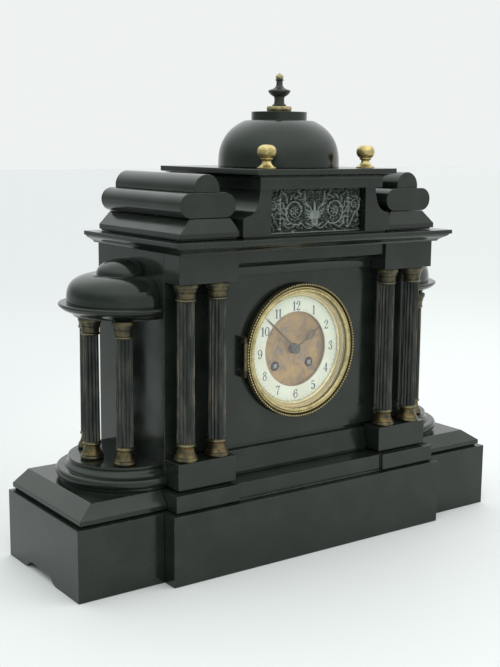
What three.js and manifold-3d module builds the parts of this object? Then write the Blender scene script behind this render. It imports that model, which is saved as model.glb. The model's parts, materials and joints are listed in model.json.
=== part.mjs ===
// Black slate mantel clock with a portico, two half-round side turrets and a dome.
// Millimetres, +Z up, the dial faces -Y. While the pieces are made, X is measured from
// the middle, Y from the front face of the base wings and Z from the shelf.
import * as THREE from 'three';
import { mergeVertices } from 'three/addons/utils/BufferGeometryUtils.js';
import Module from 'manifold-3d';

const wasm = await Module();
wasm.setup();

// Gaps and cuts
const bed = 0.3;                  // thin bed between two fixed pieces
const clearance = 0.3;            // running gap of a metal piece in its hole
const overrun = 2;                // how far a cutter passes the face it opens

// Hollow base
const baseHalfWidth = 266;
const baseDepth = 153.4;
const baseHeight = 70;
const baseWall = 15;
const centreMargin = 6;           // centre block beyond the plinth step
const centreProjection = 17.8;
const frontFoot = 47.4;           // length of the foot before the side arch
const backFoot = 34;
const archSlope = 18.6;
const archRise = 8;

// Chamfered slabs on the wings
const slabInset = 4.6;
const slabGroove = 1.7;           // height of the rebate under the slab
const slabRebate = 2.5;
const slabEdge = 4.5;
const slabChamferRise = 12;
const slabChamferSide = 17.5;
const slabChamferFront = 11.5;

// Plinth step under the portico
const stepMargin = 6.5;           // step beyond the body's walls
const stepProjection = 12.3;
const stepCentreSetback = 3;
const stepGroove = 0.9;
const stepRebate = 1.5;
const stepHeight = 17.9;

// Body and its portico
const bodyHalfWidth = 161.2;
const bodySetback = 20;           // front face of the dial panel behind the wings' front
const bodyDepth = 130.6;
const bodyWall = 14;
const panelThickness = 12;
const porticoWidth = 66.8;        // width of a pedestal and of the impost above it
const pedestalDepth = 25.2;
const pedestalHeight = 28;
const pedestalGroove = 2.1;
const pedestalRebate = 3;
const impostDepth = 27.5;
const impostHeight = 27.9;
const sillDepth = 6;
const sillUpright = 3.5;
const sillHeight = 24.5;
const sillGroove = 5;
const sillRebate = 4.3;
const architraveDepth = 24.4;
const architraveHeight = 11.5;
const coveDepth = 21.4;
const coveHeight = 15;

// Columns
const columnInset = 15.4;         // from a pedestal's edge to the column's axis
const columnSetback = 11.2;       // from a pedestal's front to the columns' axes
const columnHeight = 172;
const shaftRadius = 8.8;
const fluteCount = 12;
const fluteDepth = 1.3;
const columnBaseRadius = 11.8;
const columnBaseHeight = 18.5;
const capitalRadius = 10.8;
const capitalHeight = 16;

// Side turrets
const turretOffset = 8;           // axis outside the body's wall
const turretSetback = 83.5;
const turretDrumRadius = 66;
const turretDrumHeight = 3;
const turretTorusRadius = 70;
const turretTorusBulge = 3;
const turretTorusHeight = 9;
const turretShoulderRadius = 61;
const turretStepRadius = 56.8;
const turretStepHeight = 3;
const turretBaseHeight = 21.6;
const turretMiddleOutward = 37.6; // middle column beyond the turret's axis
const turretEndOutward = 21.2;    // front and back columns beyond it
const turretEndOffset = 37.45;    // front and back columns before and behind it
const turretColumnHeight = 141;
const turretColumnShare = 0.96;   // thickness of a turret column against a portico column
const roofUnderRadius = 50;
const roofLipRadius = 64.5;
const roofMouldHeight = 9.2;
const roofLipHeight = 3.5;
const roofLipRound = 0.35;        // rounded share of the lip's height
const roofDomeRadius = 56.5;
const roofDomeHeight = 28;
const roofDomeRise = 29.5;        // height at which the dome's curve would close
const roofDomeCurve = 3.3;        // power of the squared dome's curve
const cupolaRadius = 26.8;
const cupolaHeight = 14.5;
const roundCurve = 2;             // power of a plain round curve

// Cornice
const corniceSide = 13.1;
const corniceFront = 17.2;
const corniceBack = 6.3;
const corniceMouldReach = 9;
const corniceMouldHeight = 8;
const corniceBead = 2;
const corniceFascia = 4.3;

// Attic
const atticHalfWidth = 93.2;
const atticReach = 32.4;          // front face before the dial panel
const atticBackInset = 2.6;
const atticGroove = 1.7;
const atticRebate = 2.5;
const atticUprightHeight = 18.7;
const atticLedge = 3.6;
const atticLedgeRise = 2;
const atticCoveHeight = 24.9;
const atticCoveCorner = 1.2;      // how near the hollow's curve comes to its square corner
const atticTopHalfWidth = 73.5;
const atticJoint = 0.8;
const atticBandSide = 3.9;        // top band beyond the cheeks
const atticBandFront = 5.8;
const atticBandHeight = 10;
const atticFlareHeight = 3.7;     // sloping underside between the band and the cap
const atticFlareReach = 9;
const reliefHalfWidth = 60;
const reliefBottom = 1.7;
const reliefHeight = 44.4;
const reliefRecess = 10;
const reliefThickness = 5;
const sidePlinthReach = 29;
const sidePlinthEdge = 4.9;
const sidePlinthOuter = 13;       // insets of the chamfer
const sidePlinthInner = 9;
const sidePlinthFront = 4.6;
const sidePlinthRise = 13.3;
const scrollSetback = 4.2;
const scrollWidth = 62.3;
const scrollHeight = 23.7;
const scrollTopSetback = 2.5;
const scrollTopWidth = 29;
const scrollTopUpright = 2.5;

// Cap, dome and finials
const capFrontOverhang = 15.6;
const capSideOverhang = 14;
const capHeight = 5.2;
const domeSetback = 85;           // axis behind the cap's front edge
const domeRadius = 62.6;
const domeHeight = 45.2;
const domeRise = 50.8;            // height at which the dome's curve would close
const domeSquare = 2.45;          // power of the dome's curve
const domeFoot = 1.6;
const domeDiscRadius = 28.6;
const domeDiscHeight = 8.9;
const finialRadius = 13;
const finialHeight = 38.6;
const ballSideInset = 25;
const ballFrontInset = 20.6;
const ballFinialRadius = 9.4;
const ballFinialHeight = 22.9;

// Dial
const dialHeight = 120.5;         // dial centre above the floor of the body
const dialHoleRadius = 65.5;
const bezelRadius = 70;
const bezelFront = 9.2;           // crest of the bezel before the dial panel
const bezelDepth = 7.6;
const bezelOpening = 62.5;
const glassRadius = 64;
const glassThickness = 2;
const glassBevel = 3;             // width of the bevel round the pane
const glassSetback = 2.9;
const glassRebate = 0.3;
const flangeRadius = 68.6;
const flangeThickness = 1;
const slipRadius = 64;
const slipInner = 55.5;
const slipDepth = 3.5;
const tubeWall = 2.4;
const tubeLength = 15.7;          // behind the dial panel's front face
const chapterRadius = 55.1;
const chapterInner = 39.5;
const chapterSetback = 2.6;
const chapterThickness = 1.4;
const ledgeWidth = 4;
const ledgeThickness = 1.2;
const dialCentreRadius = 41.5;
const dialCentreDepth = 6;
const dialCentreThickness = 1;
const dialCentreRim = 1.5;
const dialCentreBore = 4;
const windingSpacing = 22.2;
const windingDrop = 17;
const windingHoleRadius = 5.2;
const hingeRadius = 1.8;
const hingePinRadius = 0.8;
const hingeReach = 2.1;           // hinge axis outside the bezel
const hingeSetback = 1.6;
const hingeKnuckle = 6.4;
const hingeLength = 41;
const hingeLeaf = 1.2;
const hingeStrap = 4.8;           // overlap of the hinge's strap on the flange

// Hands
const minuteLength = 52;
const minuteTail = 4;
const minuteWidth = 2.6;
const hourLength = 37;
const hourTail = 4;
const hourWidth = 8;
const handThickness = 0.7;
const handHub = 5.6;
const minuteMinutes = 52;         // time shown, minutes past one
const minuteSetback = 1.45;       // front of the minute hand behind the dial panel's face
const hourSetback = 2.85;
const hourBossRadius = 5.4;
const hourBossDepth = 4.7;
const centreArborRadius = 1.6;
const hourPipeRadius = 3.1;
const hourWheelRadius = 14;
const hourWheelThickness = 1.5;
const hourPipeLength = 10.55;
const nutRadius = 2.4;
const nutHeight = 0.7;

// Movement
const plateThickness = 2;
const frontPlateRadius = 64.5;
const backPlateRadius = 54;
const plateSpacing = 40;          // between the plates
const pillarCircle = 49;
const pillarAngles = [15, 165, 250, 290];
const pillarRadius = 3.5;
const barrelRadius = 19;
const barrelLength = 32;
const greatWheelRadius = 21;
const greatWheelThickness = 3;
const barrelArborRadius = 2.8;
const windingSquare = 4.6;
const windingSquareLength = 7.5;
const pivotReach = 1.5;           // how far a pivot stands in or past a plate
const escapeDrop = 16;            // escape wheel below the anchor's arbor
const escapeRadius = 11;
const escapeTeeth = 30;
const escapeToothDepth = 1.8;
const escapeThickness = 1.6;
const escapeFromBack = 16;
const arborRadius = 1.4;
const anchorRise = 43;            // anchor arbor above the dial centre
const palletGap = 1.2;
const palletWidth = 2.4;
const palletSpread = 45;          // degrees either side of the wheel's top
const anchorThickness = 2.6;
const crutchLength = 28;
const crutchWidth = 2.4;
const crutchThickness = 1.6;
const forkWidth = 1.2;
const forkPlay = 0.5;
const forkHeight = 2.5;

// Pendulum
const pendulumSetback = 8;        // rod's axis behind the back plate
const rodRadius = 1.4;
const rodLength = 146;
const bobDrop = 122;
const bobRadius = 20;
const bobThickness = 9;
const ratingNutRadius = 3.2;
const ratingNutHeight = 4;
const ratingNutDrop = 144;
const suspensionRadius = 1.8;
const suspensionLength = 6;
const cockWidth = 14;
const cockDepth = 12;
const cockHeight = 14;

// Bell, hammer and regulator
const bellOffset = 28;            // bell's axis to the left of the dial centre
const bellRise = 9;
const bellRadius = 36;
const bellThickness = 1.6;
const bellSkirt = 6;
const bellDepth = 22;
const bellCrownRadius = 7;
const bellSetback = 18;           // bell's mouth behind the back plate
const bellPostRadius = 2.5;
const bellNutRadius = 5;
const bellNutHeight = 3;
const hammerDrop = 25;
const hammerHeadRadius = 4;
const hammerHeadLength = 9.6;
const hammerRest = 0.5;           // gap between hammer and bell at rest
const hammerArmWidth = 2.4;
const hammerArmThickness = 2;
const hammerSetback = 22.5;
const regulatorRise = 57;
const regulatorRadius = 1.4;
const regulatorForward = 0.5;     // how far the square stands before the slip's foot

// Back ring and door
const backHoleRadius = 58;
const backFlangeRadius = 62;
const backFlangeThickness = 1.5;
const backTubeWall = 2.4;
const backTubeLength = 11;
const backDoorRadius = 60;
const backDoorThickness = 1.6;
const backKnobRadius = 3;
const backKnobLength = 1.2;
const backKnobInset = 9;
const backHingeRadius = 1.7;
const backHingePinRadius = 0.8;
const backHingeReach = 2.6;
const backHingeLength = 34;
const backKnuckle = 6;
const backHingeArm = 7.8;         // overlap of the middle knuckle's arm on the door

// Facets of the round pieces
const fineFacets = 32;
const turretFacets = 28;
const smallFacets = 12;
const columnFacets = 10;
const hiddenFacets = 20;
const holeFacets = 8;
const slipSteps = 3;
const torusSteps = 4;
const coveSteps = 6;
const scrollSteps = 12;

// Heights and depths that follow from the sizes above
const stepHalfWidth = bodyHalfWidth + stepMargin;
const centreHalfWidth = stepHalfWidth + centreMargin;
const slabTop = baseHeight + bed + slabGroove + slabEdge + slabChamferRise;
const stepTop = baseHeight + bed + stepHeight;
const floorTop = stepTop + bed;
const pedestalTop = floorTop + pedestalHeight;
const impostBottom = pedestalTop + bed + columnHeight + bed;
const bodyTop = impostBottom + impostHeight;
const corniceTop = bodyTop + bed + corniceMouldHeight + corniceFascia;
const atticBottom = corniceTop + bed;
const atticShoulder = atticBottom + atticUprightHeight + atticLedgeRise + atticCoveHeight;
const atticTop = atticShoulder + atticJoint + atticBandHeight + atticFlareHeight;
const capBottom = atticTop + bed;
const capTop = capBottom + capHeight;
const porticoInner = bodyHalfWidth - porticoWidth;
const bodyBack = bodySetback + bodyDepth;
const atticFront = bodySetback - atticReach;
const atticBandY = atticFront - atticBandFront;
const atticBack = bodyBack - atticBackInset;
const capFront = atticFront - capFrontOverhang;
const capHalfWidth = atticTopHalfWidth + capSideOverhang;
const corniceFrontY = bodySetback - impostDepth - corniceFront;
const dialZ = floorTop + dialHeight;
const turretX = bodyHalfWidth + turretOffset;
const turretBottom = slabTop + bed;
const turretStepTop = turretBottom + turretBaseHeight;
const roofBottom = turretStepTop + bed + turretColumnHeight + bed;
const frontPlateY = bodySetback + tubeLength + bed;
const backPlateY = frontPlateY + plateThickness + plateSpacing;
const backPlateRear = backPlateY + plateThickness;
const anchorZ = dialZ + anchorRise;
const pendulumY = backPlateRear + pendulumSetback;
const windingZ = dialZ - windingDrop;
const hammerX = -bellOffset + bellRadius + hammerRest + hammerHeadLength / 2;
const bellZ = dialZ + bellRise;
const hammerZ = dialZ - hammerDrop;

// Finishes
const slate = { color: '#1c1f1e', roughness: 0.22, metalness: 0 };
const brass = { color: '#b8994e', roughness: 0.35, metalness: 1 };
const gilt = { color: '#a3834f', roughness: 0.45, metalness: 1 };
const enamel = { color: '#dfe4d6', roughness: 0.3, metalness: 0 };
const steel = { color: '#8c9094', roughness: 0.3, metalness: 1 };
const bronze = { color: '#3d3a33', roughness: 0.4, metalness: 0.6 };
const pewter = { color: '#5d625f', roughness: 0.4, metalness: 0.9 };
const glass = { color: '#dfe9e8', roughness: 0.05, metalness: 0, transparent: true, opacity: 0.25 };

// A closed solid from any closed three.js geometry
function solid(geometry) {
  const bare = geometry.clone();
  bare.deleteAttribute('normal');
  bare.deleteAttribute('uv');
  const merged = mergeVertices(bare);
  const corners = merged.index.array;
  const triangles = [];
  for (let i = 0; i < corners.length; i += 3) {
    const [a, b, c] = corners.subarray(i, i + 3);
    if (a !== b && b !== c && c !== a) triangles.push(a, b, c);
  }
  const vertProperties = new Float32Array(merged.attributes.position.array);
  const triVerts = new Uint32Array(triangles);
  return new wasm.Manifold(new wasm.Mesh({ numProp: 3, vertProperties, triVerts }));
}

function geometryOf(body) {
  const { vertProperties, triVerts } = body.getMesh();
  const geometry = new THREE.BufferGeometry();
  geometry.setAttribute('position', new THREE.BufferAttribute(vertProperties, 3));
  geometry.setIndex(new THREE.BufferAttribute(triVerts, 1));
  geometry.computeVertexNormals();
  return geometry;
}

function join(first, ...others) {
  return others.reduce((whole, other) => whole.add(other), first);
}

function cut(first, ...others) {
  return others.reduce((whole, other) => whole.subtract(other), first);
}

// A box between two corners
function block([x0, y0, z0], [x1, y1, z1]) {
  const geometry = new THREE.BoxGeometry(Math.abs(x1 - x0), Math.abs(y1 - y0), Math.abs(z1 - z0));
  geometry.translate((x0 + x1) / 2, (y0 + y1) / 2, (z0 + z1) / 2);
  return solid(geometry);
}

// An outline extruded along an axis: outlines are (Y, Z) along X, (X, Z) along Y, (X, Y) along Z
function extruded(outline, axis, from, to, curveSegments = 6) {
  const shape = Array.isArray(outline)
    ? new THREE.Shape(outline.map(([u, v]) => new THREE.Vector2(u, v)))
    : outline;
  const depth = to - from;
  const geometry = new THREE.ExtrudeGeometry(shape, { depth, bevelEnabled: false, curveSegments });
  const turn = new THREE.Matrix4();
  const [x, y, z] = [new THREE.Vector3(1, 0, 0), new THREE.Vector3(0, 1, 0), new THREE.Vector3(0, 0, 1)];
  if (axis === 'x') turn.makeBasis(y, z, x).setPosition(from, 0, 0);
  if (axis === 'y') turn.makeBasis(x, z, y.negate()).setPosition(0, to, 0);
  if (axis === 'z') turn.setPosition(0, 0, from);
  geometry.applyMatrix4(turn);
  return solid(geometry);
}

// A turned piece from [radius, place along the axis] points, about an axis along Z or Y
function turned(profile, facets, axis, centre) {
  let points = profile.map(([radius, place]) => new THREE.Vector2(radius, place));
  if (THREE.ShapeUtils.area(points) < 0) points = points.reverse();
  if (points[0].x > 0) points.push(points[0].clone());
  const geometry = new THREE.LatheGeometry(points, facets);
  if (axis === 'z') geometry.rotateX(Math.PI / 2);
  geometry.translate(...centre);
  return solid(geometry);
}

function rod(radius, from, to, facets, axis, centre) {
  return turned([[0, from], [radius, from], [radius, to], [0, to]], facets, axis, centre);
}

// Profile points written as shares of a radius and a height
function scaled(shares, radius, height, bottom) {
  return shares.map(([radiusShare, heightShare]) => [radius * radiusShare, bottom + height * heightShare]);
}

// A dome's curve from its foot up to a height, as a superellipse
function domeCurve(radius, rise, height, bottom, power, steps) {
  const points = [];
  for (let i = 0; i <= steps; i += 1) {
    const up = height * Math.sin((i / steps) * Math.PI / 2);
    const reach = (1 - (up / rise) ** power) ** (1 / power);
    points.push([radius * reach, bottom + up]);
  }
  return points;
}

// A quarter wave between two [inset, height] levels, hollow at its start and round at its end
function cyma([inset0, height0], [inset1, height1], steps) {
  const points = [];
  for (let i = 0; i <= steps; i += 1) {
    const share = i / steps;
    const swing = (1 - Math.cos(share * Math.PI)) / 2;
    points.push([inset0 + (inset1 - inset0) * swing, height0 + (height1 - height0) * share]);
  }
  return points;
}

// A block whose sides follow [inset, height, front inset] levels, except its plain sides
function moulded({ left, right, front, back }, bottom, levels, plain = ['back']) {
  const ends = [levels[0], levels[levels.length - 1]];
  const side = (name, place, sign, front) => {
    const kept = plain.includes(name) ? ends.map(([, height]) => [0, height]) : levels;
    return kept.map(([inset, height, frontInset = inset]) => {
      return [place + sign * (front ? frontInset : inset), bottom + height];
    });
  };
  const across = [...side('right', right, -1, false), ...side('left', left, 1, false).reverse()];
  const along = [...side('back', back, -1, true), ...side('front', front, 1, true).reverse()];
  const wide = extruded(across, 'y', front - overrun, back + overrun);
  const deep = extruded(along, 'x', left - overrun, right + overrun);
  return wide.intersect(deep);
}

// The same plan rectangle on the other side of the middle
function mirrored({ left, right, front, back }) {
  return { left: -right, right: -left, front, back };
}

function onSide(side, plan) {
  return side < 0 ? mirrored(plan) : plan;
}

const clock = new THREE.Group();

function add(name, body, finish) {
  const mesh = new THREE.Mesh(geometryOf(body), new THREE.MeshStandardMaterial(finish));
  mesh.name = name;
  clock.add(mesh);
  return mesh;
}

const sides = [['left', -1], ['right', 1]];

// Hollow stone box, open underneath
function hollowBox({ left, right, front, back }, height) {
  const outside = block([left, front, 0], [right, back, height]);
  const inside = block(
    [left + baseWall, front + baseWall, -overrun],
    [right - baseWall, back - baseWall, height - baseWall],
  );
  return outside.subtract(inside);
}

// Low arch between the feet of a wing, cut through its outer wall
function wingArch(side) {
  const start = frontFoot;
  const end = baseDepth - backFoot;
  const arch = new THREE.Shape();
  arch.moveTo(start, -overrun);
  arch.lineTo(end, -overrun);
  arch.lineTo(end, 0);
  arch.bezierCurveTo(end - archSlope / 2, 0, end - archSlope / 2, archRise, end - archSlope, archRise);
  arch.lineTo(start + archSlope, archRise);
  arch.bezierCurveTo(start + archSlope / 2, archRise, start + archSlope / 2, 0, start, 0);
  const inner = side * (baseHalfWidth - baseWall - overrun);
  const outer = side * (baseHalfWidth + overrun);
  return extruded(arch, 'x', Math.min(inner, outer), Math.max(inner, outer));
}

function makeBase() {
  const centre = { left: -centreHalfWidth, right: centreHalfWidth, front: -centreProjection, back: baseDepth };
  add('base_centre_block', hollowBox(centre, baseHeight), slate);
  for (const [name, side] of sides) {
    const wing = onSide(side, { left: centreHalfWidth + bed, right: baseHalfWidth, front: 0, back: baseDepth });
    add(`base_wing_${name}`, cut(hollowBox(wing, baseHeight), wingArch(side)), slate);
    const slab = onSide(side, {
      left: stepHalfWidth + bed,
      right: baseHalfWidth - slabInset,
      front: slabInset,
      back: baseDepth,
    });
    const inner = side < 0 ? 'right' : 'left';
    const edgeTop = slabGroove + slabEdge;
    const levels = [
      [slabRebate, 0],
      [slabRebate, slabGroove],
      [0, slabGroove],
      [0, edgeTop],
      [slabChamferSide, edgeTop + slabChamferRise, slabChamferFront],
    ];
    add(`wing_slab_${name}`, moulded(slab, baseHeight + bed, levels, ['back', inner]), slate);
  }
}

function makeStep() {
  const plan = {
    left: -stepHalfWidth,
    right: stepHalfWidth,
    front: -stepProjection,
    back: bodyBack,
  };
  const levels = [[stepRebate, 0], [stepRebate, stepGroove], [0, stepGroove], [0, stepHeight]];
  const step = moulded(plan, baseHeight + bed, levels);
  const setback = block(
    [-porticoInner, plan.front - overrun, baseHeight + bed + stepGroove],
    [porticoInner, plan.front + stepCentreSetback, stepTop + overrun],
  );
  add('plinth_step', cut(step, setback), slate);
}

function makePortico() {
  for (const [name, side] of sides) {
    const outer = { left: porticoInner, right: bodyHalfWidth };
    const foot = onSide(side, { ...outer, front: bodySetback - pedestalDepth, back: bodySetback });
    const levels = [
      [pedestalRebate, 0],
      [pedestalRebate, pedestalGroove],
      [0, pedestalGroove],
      [0, pedestalHeight],
    ];
    add(`pedestal_${name}`, moulded(foot, floorTop, levels), slate);
    const head = onSide(side, { ...outer, front: bodySetback - impostDepth, back: bodySetback });
    add(
      `impost_${name}`,
      block([head.left, head.front, impostBottom], [head.right, head.back, bodyTop]),
      slate,
    );
  }
}

// Sill with a sloping face under the dial panel, and the architrave with a cove above it
function makeSillAndArchitrave() {
  const halfWidth = porticoInner - bed;
  const back = bodySetback + sillRebate - bed;
  const sill = [
    [bodySetback - sillDepth, floorTop],
    [back, floorTop],
    [back, floorTop + sillHeight],
    [bodySetback, floorTop + sillHeight],
    [bodySetback - sillDepth, floorTop + sillUpright],
  ];
  add('dial_sill', extruded(sill, 'x', -halfWidth, halfWidth), slate);
  const front = bodySetback - architraveDepth;
  const lip = bodyTop - architraveHeight;
  const rear = bodySetback - bed;
  const beam = new THREE.Shape();
  beam.moveTo(front, bodyTop);
  beam.lineTo(front, lip);
  beam.quadraticCurveTo(front + coveDepth, lip, front + coveDepth, lip - coveHeight);
  beam.lineTo(rear, lip - coveHeight);
  beam.lineTo(rear, bodyTop);
  add('architrave', extruded(beam, 'x', -halfWidth, halfWidth), slate);
}

function makeBody() {
  const inner = bodyHalfWidth - bodyWall;
  for (const [name, side] of sides) {
    const wall = onSide(side, { left: inner, right: bodyHalfWidth, front: bodySetback + bed, back: bodyBack });
    const panel = block([wall.left, wall.front, floorTop], [wall.right, wall.back, bodyTop]);
    add(`side_panel_${name}`, panel, slate);
  }
  const grooveTop = floorTop + sillHeight + sillGroove;
  const section = [
    [bodySetback, grooveTop],
    [bodySetback + sillRebate, grooveTop],
    [bodySetback + sillRebate, floorTop],
    [bodySetback + panelThickness, floorTop],
    [bodySetback + panelThickness, bodyTop],
    [bodySetback, bodyTop],
  ];
  const halfWidth = inner - bed;
  const frontHole = [bodySetback - overrun, bodySetback + panelThickness + overrun];
  const panel = extruded(section, 'x', -halfWidth, halfWidth);
  add('dial_panel', cut(panel, rod(dialHoleRadius, ...frontHole, fineFacets, 'y', [0, 0, dialZ])), slate);
  const backHole = [bodyBack - panelThickness - overrun, bodyBack + overrun];
  const rear = block([-halfWidth, bodyBack - panelThickness, floorTop], [halfWidth, bodyBack, bodyTop]);
  add('back_panel', cut(rear, rod(backHoleRadius, ...backHole, fineFacets, 'y', [0, 0, dialZ])), slate);
}

// Cast column: fluted shaft between a turned foot and a turned capital
const columnFootShares = [[1, 0], [1, 0.22], [0.8, 0.3], [0.9, 0.42], [0.74, 0.56], [0.8, 1]];
const capitalShares = [[0.76, 0], [0.9, 0.1], [0.78, 0.2], [0.86, 0.58], [0.99, 0.84], [1, 1]];

function flutedOutline(radius, depth) {
  const outline = [];
  for (let i = 0; i < fluteCount; i += 1) {
    const fluteShares = [[0, 0], [0.5, 1]];
    for (const [turnShare, depthShare] of fluteShares) {
      const angle = ((i + turnShare) / fluteCount) * 2 * Math.PI;
      const reach = radius - depth * depthShare;
      outline.push([reach * Math.cos(angle), reach * Math.sin(angle)]);
    }
  }
  return outline;
}

function column(height, thicknessShare) {
  const footRadius = columnBaseRadius * thicknessShare;
  const foot = [[0, 0], ...scaled(columnFootShares, footRadius, columnBaseHeight, 0), [0, columnBaseHeight]];
  const capitalBottom = height - capitalHeight;
  const topRadius = capitalRadius * thicknessShare;
  const crown = [
    [0, capitalBottom],
    ...scaled(capitalShares, topRadius, capitalHeight, capitalBottom),
    [0, height],
  ];
  const flutes = flutedOutline(shaftRadius * thicknessShare, fluteDepth * thicknessShare);
  return join(
    extruded(flutes, 'z', columnBaseHeight / 2, height - capitalHeight / 2),
    turned(foot, columnFacets, 'z', [0, 0, 0]),
    turned(crown, columnFacets, 'z', [0, 0, 0]),
  );
}

function makePorticoColumns() {
  const body = column(columnHeight, 1);
  const y = bodySetback - pedestalDepth + columnSetback;
  for (const [name, side] of sides) {
    const places = [['outer', bodyHalfWidth - columnInset], ['inner', porticoInner + columnInset]];
    for (const [place, x] of places) {
      add(`portico_column_${name}_${place}`, body, bronze).position.set(side * x, y, pedestalTop + bed);
    }
  }
}

// Half-round turret base: drum, torus, flat shoulder, hollow moulding and top step
function turretBase() {
  const torusBottom = turretBottom + turretDrumHeight;
  const torusTop = torusBottom + turretTorusHeight;
  const torus = [];
  for (let i = 0; i <= torusSteps; i += 1) {
    const angle = (i / torusSteps) * Math.PI - Math.PI / 2;
    const reach = turretTorusRadius - turretTorusBulge * (1 - Math.cos(angle));
    torus.push([reach, torusBottom + (turretTorusHeight / 2) * (1 + Math.sin(angle))]);
  }
  const hollowTop = turretStepTop - turretStepHeight;
  return [
    [0, turretBottom],
    [turretDrumRadius, turretBottom],
    [turretDrumRadius, torusBottom],
    ...torus,
    ...cyma([turretShoulderRadius, torusTop], [turretStepRadius, hollowTop], 3),
    [turretStepRadius, turretStepTop],
    [0, turretStepTop],
  ];
}

// Turret roof: moulded eaves, a squared dome and a small cupola
function turretRoof() {
  const lipBottom = roofBottom + roofMouldHeight;
  const domeBottom = lipBottom + roofLipHeight;
  const domeTop = domeBottom + roofDomeHeight;
  return [
    [0, roofBottom],
    ...cyma([roofUnderRadius, roofBottom], [roofLipRadius - roofLipHeight / 2, lipBottom], 3),
    [roofLipRadius, lipBottom + roofLipHeight * roofLipRound],
    [roofLipRadius, domeBottom - roofLipHeight * roofLipRound],
    [roofLipRadius - roofLipHeight / 2, domeBottom],
    ...domeCurve(roofDomeRadius, roofDomeRise, roofDomeHeight, domeBottom, roofDomeCurve, 6),
    ...domeCurve(cupolaRadius, cupolaHeight, cupolaHeight, domeTop, roundCurve, 4),
  ];
}

function makeTurrets() {
  const body = column(turretColumnHeight, turretColumnShare);
  for (const [name, side] of sides) {
    const centre = [side * turretX, turretSetback, 0];
    const wallPlane = side * (bodyHalfWidth + bed);
    const reach = turretTorusRadius + overrun;
    const behindWall = block(
      [wallPlane, turretSetback - reach, 0],
      [wallPlane - side * reach * 2, turretSetback + reach, capTop],
    );
    add(`turret_base_${name}`, cut(turned(turretBase(), turretFacets, 'z', centre), behindWall), slate);
    add(`turret_roof_${name}`, cut(turned(turretRoof(), turretFacets, 'z', centre), behindWall), slate);
    const places = [
      ['front', turretEndOutward, -turretEndOffset],
      ['middle', turretMiddleOutward, 0],
      ['back', turretEndOutward, turretEndOffset],
    ];
    for (const [place, outward, offset] of places) {
      const mesh = add(`turret_column_${name}_${place}`, body, bronze);
      mesh.position.set(side * (turretX + outward), turretSetback + offset, turretStepTop + bed);
    }
  }
}

function makeCornice() {
  const plan = {
    left: -bodyHalfWidth - corniceSide,
    right: bodyHalfWidth + corniceSide,
    front: corniceFrontY,
    back: bodyBack + corniceBack,
  };
  const mouldTop = [corniceBead, corniceMouldHeight];
  const levels = [
    ...cyma([corniceBead + corniceMouldReach, 0], mouldTop, 5),
    [0, corniceMouldHeight],
    [0, corniceMouldHeight + corniceFascia],
  ];
  add('cornice', moulded(plan, bodyTop + bed, levels), slate);
}

// Right half of the attic's outline: upright foot, ledge and hollow cheek
function atticCheek(outline, side) {
  const upright = atticBottom + atticUprightHeight;
  const ledge = upright + atticLedgeRise;
  const points = [
    [atticHalfWidth - atticRebate, atticBottom],
    [atticHalfWidth - atticRebate, atticBottom + atticGroove],
    [atticHalfWidth, atticBottom + atticGroove],
    [atticHalfWidth, upright],
    [atticHalfWidth - atticLedge, ledge],
  ];
  const corner = [atticTopHalfWidth + atticCoveCorner, ledge + atticCoveCorner];
  const top = [[atticTopHalfWidth, atticShoulder], [atticTopHalfWidth - atticJoint, atticShoulder]];
  if (side > 0) {
    for (const [x, z] of points) outline.lineTo(x, z);
    outline.quadraticCurveTo(...corner, ...top[0]);
    outline.lineTo(...top[1]);
  } else {
    outline.lineTo(-top[1][0], top[1][1]);
    outline.lineTo(-top[0][0], top[0][1]);
    outline.quadraticCurveTo(-corner[0], corner[1], -points[4][0], ledge);
    for (const [x, z] of points.slice(0, -1).reverse()) outline.lineTo(-x, z);
  }
}

// Attic block with its frieze recess, and the wider band on top of it
function makeAttic() {
  const bottom = atticBottom;
  const bandBottom = atticShoulder + atticJoint;
  const outline = new THREE.Shape();
  outline.moveTo(0, bottom);
  atticCheek(outline, 1);
  outline.lineTo(atticTopHalfWidth - atticJoint, bandBottom + atticJoint);
  outline.lineTo(-atticTopHalfWidth + atticJoint, bandBottom + atticJoint);
  atticCheek(outline, -1);
  const body = extruded(outline, 'y', atticFront, atticBack, coveSteps);
  const footGroove = block(
    [-atticHalfWidth - overrun, atticFront - overrun, bottom - overrun],
    [atticHalfWidth + overrun, atticFront + atticRebate, bottom + atticGroove],
  );
  const recessBack = atticFront + reliefRecess + reliefThickness + bed;
  const recess = block(
    [-reliefHalfWidth, atticFront - overrun, bottom + reliefBottom],
    [reliefHalfWidth, recessBack, bottom + reliefBottom + reliefHeight],
  );
  const bandHalfWidth = atticTopHalfWidth + atticBandSide;
  const bandPlan = {
    left: -bandHalfWidth - atticFlareReach,
    right: bandHalfWidth + atticFlareReach,
    front: atticBandY - atticFlareReach,
    back: atticBack,
  };
  const bandLevels = [
    [atticFlareReach, 0],
    [atticFlareReach, atticBandHeight],
    [0, atticBandHeight + atticFlareHeight],
  ];
  const band = moulded(bandPlan, bandBottom, bandLevels);
  add('attic_block', join(cut(body, footGroove, recess), band), slate);
  const relief = block(
    [-reliefHalfWidth + bed, atticFront + reliefRecess, bottom + reliefBottom + bed],
    [reliefHalfWidth - bed, recessBack - bed, bottom + reliefBottom + reliefHeight - bed],
  );
  add('relief_panel', relief, pewter);
}

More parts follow.
